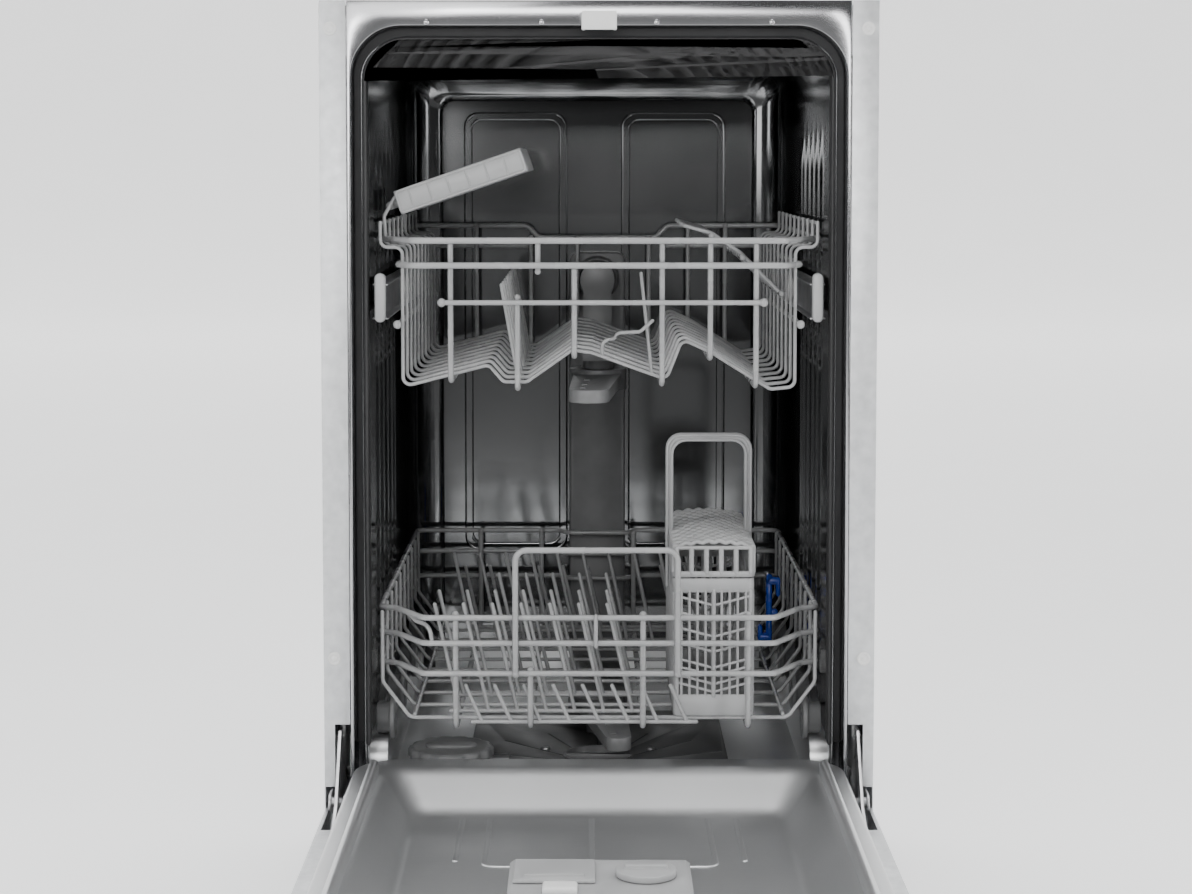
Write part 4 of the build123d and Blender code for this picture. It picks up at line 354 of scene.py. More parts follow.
upper = Look(
    thin=dict(radius=1.5, bend=6.0),
    thick=dict(radius=2.6, bend=9.0, tip=2.8),
    upright=dict(radius=2.3, bend=8.0, tip=2.6),
    ball=dict(radius=2.1, bend=6.0, tip=3.6),
    profile=((-160, 503), (-90, 521), (-78, 507), (-59, 507), (-22, 533), (-6, 531), (55, 509), (68, 542),
             (92, 531), (140, 501), (160, 503)),
    side=((178, 637), (178, 617), (160, 617)),
    crossStart=26.0, crossStep=43.556, crossCount=10,
    rim=[(150, 4, 623), (182, 62, 623), (182, 458, 623), (70, 458, 623), (58, 458, 611)],
    second=[(151.5, 4, 603), (163.5, 26, 603), (163.5, 458, 603)],
    topWire=[(180, 62, 636), (180, 458, 636)],
    sideWire=[(163, 9.5, 555), (163, 458, 555)],
    third=[(-127, 5.0, 573), (133, 5.0, 573)],
    lowBack=[(70, 458, 603), (164, 458, 603)],
    uprights=(
        (-120, 509.0, 623, 623), (-66, 502.7, 577, 611), (-20, 528.7, 599, 611), (51, 506.3, 623, 611),
        (90, 527.3, 623, 623), (127, 504.7, 623, 623),
    ),
    stays=[[(-49.5, 8.3, 623), (-49.5, 8.3, 598)]],
    leaning=[(44, 60, 511), (35, 60, 594)],
    bracket=[(2.7, 40, 527), (2.7, 40, 540), (13, 40, 541), (15, 40, 546), (34, 40, 547), (44, 40, 556)],
    uprightEnds=(8.3, 453.7), tineStart=(-66.0, 47.8, 503.0), tineHeight=82.0, tineLean=14.5, tineCount=9,
)


def upperBasket():
    look = upper
    profile = [(x, look.crossStart, z) for x, z in look.profile]
    right = [(x, look.crossStart, z) for x, z in look.side]
    cross = mirroredRoute(right) + profile[1:-1] + right[::-1]
    cross.insert(3, profile[0])
    cross.insert(-3, profile[-1])
    pieces = [
        wires([cross], look.thin, count=look.crossCount, step=(0, look.crossStep, 0)),
        wires([wholeLoop(look.rim)], look.thick, closed=True),
    ]
    for name, kind in (("topWire", "thin"), ("sideWire", "ball"), ("lowBack", "thick")):
        pieces.append(wires([getattr(look, name), mirroredRoute(getattr(look, name))], getattr(look, kind)))
    second = mirroredRoute(look.second[::-1]) + look.second
    pieces.append(wires([second], look.thick))
    pieces.append(wires([look.third], look.ball))
    front, rear = look.uprightEnds
    routes = [
        [(x, front, top), (x, front, low), (x, rear, low), (x, rear, back)]
        for x, low, top, back in look.uprights
    ]
    pieces.append(wires(routes, look.upright))
    pieces.append(wires(look.stays, look.upright))
    pieces.append(wires([look.leaning, look.bracket], look.thin))
    x, y, foot = look.tineStart
    tine = [(x, y, foot), (x - look.tineLean, y, foot + look.tineHeight)]
    pieces.append(wires([tine], look.thin, count=look.tineCount, step=(0, look.crossStep, 0)))
    return merged("upperBasketWires", pieces)


placed(upperBasket(), "upper_rack", "rack_coating", "upper_basket")
print("upper basket made")


# Lower basket

lower = Look(
    thin=dict(radius=1.7, bend=9.0),
    rimWire=dict(radius=2.4, bend=9.0),
    thick=dict(radius=2.5, bend=9.0, tip=3.0),
    tine=dict(radius=1.7, bend=6.0, tip=1.7),
    rimHeights=(316, 295, 270),
    rim=((31, 448), (36, 464), (181.5, 464), (181.5, 54), (167, 46), (143, 5)),
    cross=((178.6, 316), (178.6, 258), (156, 228)),
    crossStart=30.0, crossStep=45.556, crossCount=10,
    edgeWire=[(152, 30, 230.9), (152, 440, 230.9)],
    uprights=((-117, 318, 460.4), (-56, 272, 460.4), (36, 318, 444.4), (122, 318, 460.4)),
    uprightFoot=(8.6, 224.4),
    handle=[(-68, 1.4, 270), (-68, 1.4, 372), (64, 1.4, 372), (64, 1.4, 270)],
    stay=[(-2.5, 1.8, 318), (-2.5, 1.8, 293)],
    cornerStay=[(-160, 36, 316), (-150, 18, 311), (-138, 7, 309), (-136, 6, 295)],
    rows=((14, -96, 8, 30, 24), (52, -116, 7, 90, 13), (112, -116, 7, 90, 13), (196, -68, 5, 90, 13),
          (410, -116, 10, 60, 13)),
    pitch=24.0, rowHeight=228.2, rowEnd=8.0,
    foldRow=(288, -116, 10, 84, 12), foldAxle=[(-136, 288, 237), (166, 288, 237)],
)


# One tine, to be repeated along its row.
def tineRow(row, height, look):
    y, first, count, rise, lean = row
    shift = rise * math.tan(math.radians(lean))
    tine = [(first, y, height), (first - shift, y, height + rise)]
    return wires([tine], look.tine, count=count, step=(look.pitch, 0, 0))


def lowerBasket():
    look = lower
    pieces = []
    for z in look.rimHeights:
        pieces.append(wires([wholeLoop([(x, y, z) for x, y in look.rim])], look.rimWire, closed=True))
    side = [(x, look.crossStart, z) for x, z in look.cross]
    cross = mirroredRoute(side) + side[::-1]
    pieces.append(wires([cross], look.thin, count=look.crossCount, step=(0, look.crossStep, 0)))
    pieces.append(wires([look.edgeWire, mirroredRoute(look.edgeWire)], look.thin))
    front, foot = look.uprightFoot
    rim = look.rimHeights[0]
    routes = [
        [(x, front, top), (x, front, foot), (x, back, foot), (x, back, rim)]
        for x, top, back in look.uprights
    ]
    pieces.append(wires(routes + [look.handle], look.thick))
    pieces.append(wires([look.stay, look.cornerStay], look.thin))
    for row in look.rows:
        y, first, count = row[:3]
        last = first + look.pitch * (count - 1)
        height = look.rowHeight
        foot = [(first - look.rowEnd, y, height), (last + look.rowEnd, y, height)]
        pieces.append(wires([foot], look.tine))
        pieces.append(tineRow(row, height, look))
    return merged("lowerBasketWires", pieces)


placed(lowerBasket(), "lower_rack", "rack_coating", "lower_basket")
foldRow = merged("foldRowWires", [
    wires([lower.foldAxle], lower.tine),
    tineRow(lower.foldRow, lower.foldAxle[0][2], lower),
])
placed(foldRow, "fold_row", "rack_coating", "fold_tines")
print("lower basket made")


# Tub

tub = Look(
    half=191.0, top=783.0, corner=30.0, leastCorner=6.0, low=172.0, front=16.0, back=483.5, sheet=1.0,
    backRound=36.0, fluteHeight=2.2, fluteWidth=15.0, flutes=(130, 172, 214, 256, 298),
    fluteSpans=((222, 548), (604, 706)), fluteEase=14.0,
    sideSteps=46, topSteps=36, cornerSteps=14, fluteSteps=6, roundSteps=9, depthSteps=14,
    bead=dict(radius=2.0, bend=12.0, sides=16, paint="tubSteel"), beadShare=0.7,
    ceilingLoops=(
        (-160, 70, -36, 150), (-160, 180, -36, 300), (36, 70, 160, 150), (36, 180, 160, 300),
        (-150, 345, 150, 400),
    ),
    backLoops=((-132, 294, -32, 734), (26, 294, 127, 734)), backGaps=(0, 4.8), backLift=0.5,
)


def eased(value):
    value = min(max(value, 0.0), 1.0)
    return value * value * (3 - 2 * value)


# How far the side wall stands in at a height and a depth.
def fluteAt(look, y, z):
    rise = 0.0
    for low, high in look.fluteSpans:
        window = eased((z - low) / look.fluteEase) * eased((high - z) / look.fluteEase)
        for place in look.flutes:
            across = abs(y - place) / look.fluteWidth
            if across < 1:
                rise += look.fluteHeight * window * (0.5 + 0.5 * math.cos(math.pi * across))
    return rise


# Points of the arch, drawn in by the rounding at its back, with the way in at each.
def archRing(look, y):
    start = look.back - look.backRound
    inset = 0.0
    if y > start:
        inset = look.backRound - math.sqrt(max(look.backRound ** 2 - (y - start) ** 2, 0.0))
    half, top = look.half - inset, look.top - inset
    corner = max(look.corner - inset / 2, look.leastCorner)
    heights = spacedOut((look.low, top - corner), look.sideSteps)
    ring = [(half - fluteAt(look, y, z), z) for z in heights]
    for n in range(1, look.cornerSteps):
        angle = math.pi / 2 * n / look.cornerSteps
        ring.append((half - corner + corner * math.cos(angle), top - corner + corner * math.sin(angle)))
    across = spacedOut((half - corner, 0), look.topSteps // 2)
    ring += [(x, top) for x in across]
    return [(x, y, z) for x, z in ring] + [(-x, y, z) for x, z in ring[-2::-1]]


def tubRings(look):
    places = {look.front, look.back}
    steps = look.fluteSteps
    for flute in look.flutes:
        places |= {flute + look.fluteWidth * n / steps for n in range(-steps, steps + 1)}
    steps, back, reach = look.roundSteps, look.back, look.backRound
    places |= {back - reach * (1 - math.sin(math.pi / 2 * n / steps)) for n in range(steps)}
    places |= set(spacedOut((look.front, back - reach), look.depthSteps))
    return sorted(places)


# A skin of quads through equal rings of points.
def lofted(name, rings, closed=False):
    width = len(rings[0])
    faces = []
    for row in range(len(rings) - 1):
        for n in range(width if closed else width - 1):
            here, above, after = row * width, (row + 1) * width, (n + 1) % width
            faces.append((here + n, here + after, above + after, above + n))
    piece = meshPiece(name, [at(*point) for ring in rings for point in ring], faces=faces)
    for face in piece.data.polygons:
        face.use_smooth = True
    return piece


# Gives a skin its thickness, away from the side its faces point to.
def thickened(piece, thickness):
    shell = piece.modifiers.new("sheet", "SOLIDIFY")
    shell.thickness = mm(thickness)
    shell.offset = -1.0
    return baked(piece)



# Squashes a piece across one axis towards a plane, so that a round bead becomes a low one.
def flattened(piece, axis, place, share):
    for vertex in piece.data.vertices:
        vertex.co[axis] = place + (vertex.co[axis] - place) * share
    return piece


def panelRoute(low, high, flat, place):
    corners = [(low[0], low[1]), (high[0], low[1]), (high[0], high[1]), (low[0], high[1])]
    if flat == "y":
        return [(a, place, b) for a, b in corners]
    return [(a, b, place) for a, b in corners]


def tubShell(look):
    shell = thickened(lofted("tubShell", [archRing(look, y) for y in tubRings(look)]), look.sheet)
    shell.data.materials.append(paint["tubSteel"])
    routes = [panelRoute((x0, y0), (x1, y1), "z", look.top) for x0, y0, x1, y1 in look.ceilingLoops]
    beads = wires(routes, look.bead, closed=True)
    return merged("tubShell", [shell, flattened(beads, 2, mm(look.top), look.beadShare)])


def backWallBeads(look):
    place = look.back + look.backLift
    routes = [
        panelRoute((x0 + gap, z0 + gap), (x1 - gap, z1 - gap), "y", place)
        for x0, z0, x1, z1 in look.backLoops for gap in look.backGaps
    ]
    return flattened(wires(routes, look.bead, closed=True), 1, at(0, place, 0).y, look.beadShare)


placed(tubShell(tub), "cabinet", "tub_steel", "tub_wrap")
placed(backWallBeads(tub), "cabinet", "tub_steel").name = "backWallBeads"
print("tub made")


# Shelves of the upper rack

shelfLook = Look(
    bar=dict(radius=1.6, bend=9.0, tip=1.7),
    pin=dict(radius=2.4, bend=6.0, tip=2.6),
    curve=[(152, 78, 577), (118, 78, 611), (94, 78, 627), (72, 78, 633)],
    count=10, step=21.3,
    pins=[
        [(152, 62, 577), (152, 288, 577)], [(94, 72, 625), (94, 275, 625)],
        [(120, 72, 607), (120, 275, 607)],
    ],
)


def wireShelf():
    look = shelfLook
    repeat = dict(count=look.count, step=(0, look.step, 0))
    return merged("wireShelfBars", [
        wires([look.curve], look.bar, **repeat),
        wires(look.pins, look.pin),
    ])


placed(wireShelf(), "wire_shelf", "rack_coating", "wire_shelf")


# Cutlery basket

cutlery = Look(
    x=(61.0, 128.0), y=(26.0, 205.0), corner=5.0, wall=1.8, rimSoft=0.5, bottom=230.2, overlap=1,
    bodyBands=((230.2, 248.0), (333.0, 344.6)), lidBands=((345.6, 350.5), (368.5, 371.5)), lidBulge=0.4,
    bar=dict(radius=1.15, bend=0.5, sides=8, paint="lightPlastic"),
    rib=dict(radius=2.0, bend=0.5, sides=10, paint="lightPlastic"),
    lidBar=dict(radius=2.1, bend=0.5, sides=10, paint="lightPlastic"),
    strand=dict(radius=2.0, bend=3.0, sides=8, paint="lightPlastic"),
    ridge=dict(radius=1.25, bend=12.0, paint="lightPlastic"),
    ribInset=3, frontInset=7, frontBars=9, sideInset=5, sidePitch=9.0, sideRows=7, rowInset=8, rowEnd=4,
    chevrons=(322, 309, 296, 283.5, 270, 263.5, 256.5, 250), chevronRise=8.0,
    lidFrontBars=6, lidSideBars=15,
    strandCount=19, strandPoints=15, strandHeight=370.5, lengthwiseHeight=370.0, strandDome=4.5, weave=1.2,
    handleY=115.0, handleTop=455.0, handleFoot=323.5, handleHalf=36.3, handleDepth=6.5, handleBand=6.0,
    handleCorner=12.5, cornerSteps=8, bandSoft=1.2, bandEase=1.4, ridgeInset=0.6,
)


def roundedRing(x, y, corner, z, inset=0.0, steps=5):
    ring = []
    corner = max(corner - inset, 0.4)
    left, right = x[0] + inset + corner, x[1] - inset - corner
    near, far = y[0] + inset + corner, y[1] - inset - corner
    centres = ((right, far, 0), (left, far, 90), (left, near, 180), (right, near, 270))
    for cx, cy, start in centres:
        for n in range(steps + 1):
            angle = math.radians(start + 90 * n / steps)
            ring.append((cx + corner * math.cos(angle), cy + corner * math.sin(angle), z))
    return ring


# A round-cornered band of moulded wall between two heights, with softened rims.
def wallBand(look, low, high, bulge=0.0):
    soft, wall = look.rimSoft, look.wall
    section = [
        (low, soft), (low + soft, -bulge), (high - soft, -bulge), (high, soft), (high, wall - soft),
        (high - soft, wall), (low + soft, wall), (low, wall - soft), (low, soft),
    ]
    rings = [roundedRing(look.x, look.y, look.corner, z, inset) for z, inset in section]
    piece = lofted("wallBand", rings, closed=True)
    piece.data.materials.append(paint["lightPlastic"])
    return piece


def flatPlate(ring, thickness, finish):
    count = len(ring)
    under = [(x, y, z - thickness) for x, y, z in ring]
    sides = [(count + n, count + (n + 1) % count, (n + 1) % count, n) for n in range(count)]
    faces = [tuple(range(count)), tuple(reversed(range(count, 2 * count)))] + sides
    piece = meshPiece("plate", [at(*point) for point in ring + under], faces=faces)
    piece.data.materials.append(paint[finish])
    return piece


# Upright bars across the gap between two bands of a wall, at places along X or Y.
def upright(places, spot, bands, overlap):
    low, high = bands[0][1] - overlap, bands[1][0] + overlap
    return [[(*spot(place), low), (*spot(place), high)] for place in places]


def wallBars(look):
    x, y, half = look.x, look.y, look.wall / 2
    bands, overlap = look.bodyBands, look.overlap
    low, high = bands[0][1] - overlap, bands[1][0] + overlap
    rib, front, side = look.ribInset, look.frontInset, look.sideInset
    middle = sum(x) / 2
    bars, ribs = [], []
    for place in (y[0] + half, y[1] - half):
        spot = (lambda a: (a, place))
        bars += upright(spacedOut((x[0] + front, x[1] - front), look.frontBars), spot, bands, overlap)
        ribs += upright((x[0] + rib, middle, x[1] - rib), spot, bands, overlap)
        for z in look.chevrons:
            rise = z + look.chevronRise
            bars.append([(x[0] + rib, place, rise), (middle, place, z), (x[1] - rib, place, rise)])
    count = round((y[1] - y[0] - 2 * side) / look.sidePitch)
    for place in (x[0] + half, x[1] - half):
        spot = (lambda b: (place, b))
        bars += upright(spacedOut((y[0] + side, y[1] - side), count), spot, bands, overlap)
        for z in spacedOut((low + look.rowInset, high - look.rowInset), look.sideRows):
            bars.append([(place, y[0] + look.rowEnd, z), (place, y[1] - look.rowEnd, z)])
    return [wires(bars, look.bar), wires(ribs, look.rib)]


def handleRoute(look, inset, y):
    half, middle, foot = look.handleHalf - inset, sum(look.x) / 2, look.handleFoot
    high = look.handleTop - inset - look.ridge["radius"]
    left, right = middle - half, middle + half
    return [(left, y, foot), (left, y, high), (right, y, high), (right, y, foot)]


# Flat band swept along the handle's bent route, a little less deep than the ridges along its edges.
def handleBand(look):
    middle, corner, steps = sum(look.x) / 2, look.handleCorner, look.cornerSteps
    half, top = look.handleHalf, look.handleTop - look.ridge["radius"]
    path = [(-half, look.handleFoot)]
    for n in range(steps + 1):
        angle = math.pi - math.pi / 2 * n / steps
        path.append((-half + corner + corner * math.cos(angle), top - corner + corner * math.sin(angle)))
    path += [(-x, z) for x, z in reversed(path)]
    near, far = look.bandSoft, look.handleBand - look.bandSoft
    depth = look.handleDepth - look.bandEase
    rings = []
    for n, (x, z) in enumerate(path):
        ahead, behind = path[min(n + 1, len(path) - 1)], path[max(n - 1, 0)]
        along = Vector((ahead[0] - behind[0], ahead[1] - behind[1])).normalized()
        inward = Vector((along.y, -along.x))
        rings.append([
            (middle + x + inward.x * a, look.handleY + b, z + inward.y * a)
            for a, b in ((near, -depth), (far, -depth), (far, depth), (near, depth))
        ])
    piece = lofted("handleBand", rings, closed=True)
    piece.data.materials.append(paint["lightPlastic"])
    return piece


def cutleryBody():
    look = cutlery
    pieces = [wallBand(look, *band) for band in look.bodyBands] + wallBars(look)
    floor = roundedRing(look.x, look.y, look.corner, look.bottom + look.wall, 1.0)
    pieces.append(flatPlate(floor, look.wall, "lightPlastic"))
    routes = [
        handleRoute(look, inset, look.handleY + side * (look.handleDepth - look.bandSoft))
        for inset in (look.ridgeInset, look.handleBand - look.bandEase) for side in (-1, 1)
    ]
    pieces += [wires(routes, look.ridge), handleBand(look)]
    return merged("cutleryBody", pieces)


# The lid: a low band with tall windows, a shoulder and a domed top of strands laid over and under.
def cutleryLid():
    look = cutlery
    x, y, half = look.x, look.y, look.wall / 2
    bands, overlap, rib, side = look.lidBands, look.overlap, look.ribInset, look.sideInset
    pieces = [wallBand(look, *band, bulge=look.lidBulge) for band in bands]
    bars = []
    for place in (y[0] + half, y[1] - half):
        fronts = spacedOut((x[0] + rib, x[1] - rib), look.lidFrontBars)
        bars += upright(fronts, lambda a: (a, place), bands, overlap)
    for place in (x[0] + half, x[1] - half):
        sides = spacedOut((y[0] + side, y[1] - side), look.lidSideBars)
        bars += upright(sides, lambda b: (place, b), bands, overlap)
    pieces.append(wires(bars, look.lidBar))
    middle, reach = sum(x) / 2, (x[1] - x[0]) / 2 - 1
    near, far = y[0] + rib, y[1] - rib
    places = spacedOut((-reach, reach), look.strandPoints)
    across = [(a, look.strandDome * (1 - (a / reach) ** 2)) for a in places]
    strands = []
    for n, b in enumerate(spacedOut((near, far), look.strandCount)):
        route = []
        for k, (a, dome) in enumerate(across):
            weave = look.weave * math.cos(math.pi * (k + n))
            route.append((middle + a, b, look.strandHeight + dome + weave * (abs(a) < reach)))
        strands.append(route)
    height = look.lengthwiseHeight
    lengthwise = [
        [(middle + a, near, height + dome), (middle + a, far, height + dome)] for a, dome in across[1:-1:2]
    ]
    pieces += [wires(strands, look.strand), wires(lengthwise, look.bar)]
    return merged("cutleryLidWeave", pieces)


placed(cutleryBody(), "cutlery", "light_plastic", "cutlery_basket")
placed(cutleryLid(), "cutlery", "light_plastic", "cutlery_lid")
print("shelves and cutlery basket made")


# Moulded and pressed parts, shaped from given sizes

def capped(piece, finish):
    form = bmesh.new()
    form.from_mesh(piece.data)
    bmesh.ops.holes_fill(form, edges=form.edges, sides=0)
    bmesh.ops.recalc_face_normals(form, faces=form.faces)
    form.to_mesh(piece.data)
    form.free()
    piece.data.materials.append(paint[finish])
    return piece


# A solid of round-cornered sections, each given as its x range, y range, height and inset.
def stacked(name, sections, corner, finish):
    rings = [roundedRing(x, y, corner, z, inset) for x, y, z, inset in sections]
    return capped(lofted(name, rings, True), finish)


# A block with rounded corners and softened top and bottom rims.
def pad(x, y, z, corner, soft, finish):
    sections = [(x, y, z[0], soft), (x, y, z[0] + soft, 0), (x, y, z[1] - soft, 0), (x, y, z[1], soft)]
    return stacked("pad", sections, corner, finish)


# A solid of revolution whose rim can be scalloped, from radii, heights and shares of the scallop.
def turned(name, profile, spot, finish, sides=64, lobes=0, depth=0.0):
    rings = []
    for radius, height, share in profile:
        ring = []
        for n in range(sides):
            angle = 2 * math.pi * n / sides
            reach = radius - depth * share * (0.5 - 0.5 * math.cos(lobes * angle)) ** 2
            ring.append(spot(reach * math.cos(angle), reach * math.sin(angle), height))
        rings.append(ring)
    return capped(lofted(name, rings, True), finish)


def onTop(x, y, z):
    return lambda u, v, h: (x + u, y + v, z + h)


def onFront(x, z):
    return lambda u, v, h: (x + u, -h, z + v)


def blended(first, middle, last, steps=5):
    rings = []
    for n in range(steps + 1):
        t = n / steps
        shares = ((1 - t) ** 2, 2 * t * (1 - t), t * t)
        rings.append([
            tuple(sum(share * value for share, value in zip(shares, values)) for values in zip(a, b, c))
            for a, b, c in zip(first, middle, last)
        ])
    return rings


def between(first, last, share):
    return [tuple(a + (b - a) * share for a, b in zip(p, q)) for p, q in zip(first, last)]


door = Look(
    outer=((-198.4, 198.4), (-640, 20)), outerCorner=40, skirt=160.0, rim=196.0, rimSoft=3,
    recess=((-176, 176), (-612, -8)), recessCorner=22, floor=((-149, 149), (-590, -51)), floorCorner=14,
    low=167.0, hole=((-59.5, 59.5), (-338.5, -197.5)), holeCorner=3.0, sheet=1.9, soft=6.0, slope=0.2,
    pocketSlack=1.2, pocketReach=20, pocketHeights=(140, 220), sharp=50,
    tracks=((177, 185), (-185, -177)), trackSpan=(-401, -24), trackCorner=4.0,
    trackSections=((195.5, 0), (203, 0), (205.6, 0.9), (206.9, 2.8)),
    bead=dict(radius=2.3, bend=8.0, paint="doorSteel"), beadShare=0.45,
    beadRoutes=(
        ((-86, -58), (-86, -184), (86, -184), (86, -58)), ((-6, -58), (-6, -176)),
        ((-108, -60), (-108, -170)), ((108, -60), (108, -170)),
    ),
)


# Cuts a pocket for the lock, which sinks into the liner's outer end.
def lockPocket(pan, look):
    corners = [cad["door_lock"].matrix_world @ Vector(corner) for corner in cad["door_lock"].bound_box]
    (x0, x1), (y0, y1), _ = [(min(values), max(values)) for values in zip(*corners)]
    slack = mm(look.pocketSlack)
    pocket = meshPiece("pocket", [
        (x, y, mm(z)) for x in (x0 - slack, x1 + slack)
        for y in (y0 - mm(look.pocketReach), y1 + slack) for z in look.pocketHeights
    ], faces=((0, 1, 3, 2), (4, 6, 7, 5), (0, 4, 5, 1), (2, 3, 7, 6), (0, 2, 6, 4), (1, 5, 7, 3)))
    cut = pan.modifiers.new("lock", "BOOLEAN")
    cut.object = pocket
    cut.solver = "EXACT"
    baked(pan)
    bpy.data.objects.remove(pocket)


def doorLiner(look):
    def ring(name, z, inset=0.0):
        return roundedRing(*getattr(look, name), getattr(look, name + "Corner"), z, inset, steps=8)
    rim, low, soft, edge, slope = look.rim, look.low, look.soft, look.rimSoft, look.slope
    top, foot = ring("recess", rim), ring("floor", low)
    rings = [ring("outer", look.skirt), ring("outer", rim - edge)]
    rings += blended(ring("outer", rim - edge), ring("outer", rim), ring("outer", rim, edge), 4)[1:]
    rings += blended(ring("recess", rim, -soft), top, between(top, foot, slope))
    rings += blended(between(top, foot, 1 - slope), foot, ring("floor", low, soft))
    rings += [ring("hole", low), ring("hole", low - edge)]
    pan = thickened(lofted("doorLiner", rings, True), look.sheet)
    lockPocket(pan, look)
    painted(pan, paint["doorSteel"])
    pieces = [pan]
    for side in look.tracks:
        sections = [(side, look.trackSpan, z, inset) for z, inset in look.trackSections]
        pieces.append(stacked("track", sections, look.trackCorner, "doorSteel"))
    beads = wires([[(x, y, low) for x, y in route] for route in look.beadRoutes], look.bead)
    pieces.append(flattened(beads, 2, mm(low), look.beadShare))
    whole = merged("doorLiner", pieces)
    whole.data.set_sharp_from_angle(angle=math.radians(look.sharp))
    return whole


placed(doorLiner(door), "door", "door_steel", "door_liner")

saltLook = Look(
    place=(-126.85, 107.0), sides=84, lobes=14, depth=2.6,
    profile=(
        (28.5, 160, 0), (28.5, 176, 0), (35.6, 176, 1), (37, 177.2, 1), (37, 182.6, 1), (35.6, 184.4, 1),
        (33.6, 185, 0.8), (31, 185, 0), (29.6, 184.2, 0), (10, 184.2, 0), (1, 184.2, 0),
    ),
    oval=(22.0, 8.0), ovalSections=((183, 0), (186.2, 0), (187, 1)),
)


def saltCap(look):
    (x, y), (wide, deep) = look.place, look.oval
    lobed = (look.sides, look.lobes, look.depth)
    top = turned("saltCap", look.profile, onTop(x, y, 0), "greyPlastic", *lobed)
    sections = [((x - wide, x + wide), (y - deep, y + deep), z, inset) for z, inset in look.ovalSections]
    return merged("saltCap", [top, stacked("oval", sections, deep, "greyPlastic")])


placed(saltCap(saltLook), "salt_cap", "grey_plastic", "salt_cap")

# Small round parts of the cabinet, with the node that they stand for if there is one.
small = {
    "filterScrews": dict(
        profile=((3.9, 0, 0), (3.9, 0.8, 0), (2.9, 1.8, 0), (1.6, 2.0, 0), (0.5, 1.4, 0)), sides=20,
        spots=[onTop(x, 164, 167.5) for x in (-46.5, 46.5)], finish="zincSteel", slot="hinge_steel",
    ),
    "collarDots": dict(
        profile=((2.5, 0, 0), (2.1, 0.5, 0), (1.2, 0.8, 0), (0.3, 0.9, 0)), sides=16,
        spots=[onFront(x, 797.5) for x in (-138, -46, 46, 138)], finish="collarSteel", slot="collar_steel",
    ),
    "flangeCaps": dict(
        profile=(
            (5.5, 0, 0), (5.5, 0.9, 0), (4.9, 1.4, 0), (3.7, 1.45, 0), (3.2, 0.9, 0), (2.3, 0.9, 0),
            (1.8, 1.4, 0), (0.4, 1.5, 0),
        ), sides=32,
        spots=[onFront(x, z) for x in (-215, 215) for z in (283.5, 792.5)],
        finish="whitePlastic", slot="white_plastic", nodes=("flange_caps",),
    ),
}
for name, look in small.items():
    profile, finish, sides = look["profile"], look["finish"], look["sides"]
    pieces = [turned("small", profile, spot, finish, sides) for spot in look["spots"]]
    placed(merged(name, pieces), "cabinet", look["slot"], *look.get("nodes", ()))

shelf = Look(
    pivot=(-173.0, 650.0), tilt=19.0, x=(-165.0, -55.0), y=(42.0, 250.0), half=10.0, sheet=2.6,
    wallCorner=1.2, slatCorner=3.0, soft=0.6, slats=6, slatGaps=(2, 7), slatDrop=(4.5, 2.5), edge=1,
    border=dict(radius=1.2, bend=2.5, sides=8, paint="lightPlastic"),
    rib=dict(radius=0.8, bend=1.0, sides=8, paint="lightPlastic"), ribs=6, ribInsets=(12, 16),
    ear=dict(radius=3.4, bend=4.0, sides=16, paint="lightPlastic"), earPlaces=(70.0, 222.0),
    earHalf=6, earFoot=2,
)


def cupShelf(look):
    (x0, x1), (y0, y1), (px, pz) = look.x, look.y, look.pivot
    low, high, sheet, edge = pz - look.half, pz + look.half, look.sheet, look.edge
    pieces = []
    inner = (x0 + edge, x1 - edge)
    for span, depth in (
        ((x0, x1), (y0, y0 + sheet)), ((x0, x1), (y1 - sheet, y1)),
        ((x1 - sheet, x1), (y0 + edge, y1 - edge)), ((x0, x0 + sheet), (y0 + edge, y1 - edge)),
    ):
        pieces.append(pad(span, depth, (low, high), look.wallCorner, look.soft, "lightPlastic"))
    width = (y1 - y0) / look.slats
    before, after = look.slatGaps
    heights = (high - look.slatDrop[0], high - look.slatDrop[1])
    for n in range(look.slats):
        y = y0 + width * n
        depth = (y + before, y + width - after)
        pieces.append(pad(inner, depth, heights, look.slatCorner, look.soft, "lightPlastic"))
    foot, top = low + look.border["radius"], high - look.border["radius"]
    for y in (y0, y1):
        border = panelRoute((inner[0], foot), (inner[1], top), "y", y)
        pieces.append(wires([border], look.border, closed=True))
        places = spacedOut((x0 + look.ribInsets[0], x1 - look.ribInsets[1]), look.ribs)
        pieces.append(wires([[(x, y, low + edge), (x, y, high - edge)] for x in places], look.rib))
    ears = [[(px, y - look.earHalf, pz), (px, y + look.earHalf, pz)] for y in look.earPlaces]
    links = [[(px, y, pz), (x0 + look.earFoot, y, pz)] for y in look.earPlaces]
    pieces.append(wires(ears + links, look.ear))
    whole = merged("cupShelf", pieces)
    pivot = Vector(at(px, 0, pz))
    tilt = Matrix.Rotation(math.radians(-look.tilt), 4, "Y")
    whole.data.transform(Matrix.Translation(pivot) @ tilt @ Matrix.Translation(-pivot))
    return whole


placed(cupShelf(shelf), "cup_shelf", "light_plastic", "cup_shelf")
holder = wires(
    [[(-168, y, 657), (-176.5, y, 642), (-175.5, y, 626)] for y in (46, 246)],
    dict(radius=1.5, bend=6.0, sides=10),
)
placed(holder, "upper_rack", "rack_coating").name = "cupShelfHolder"

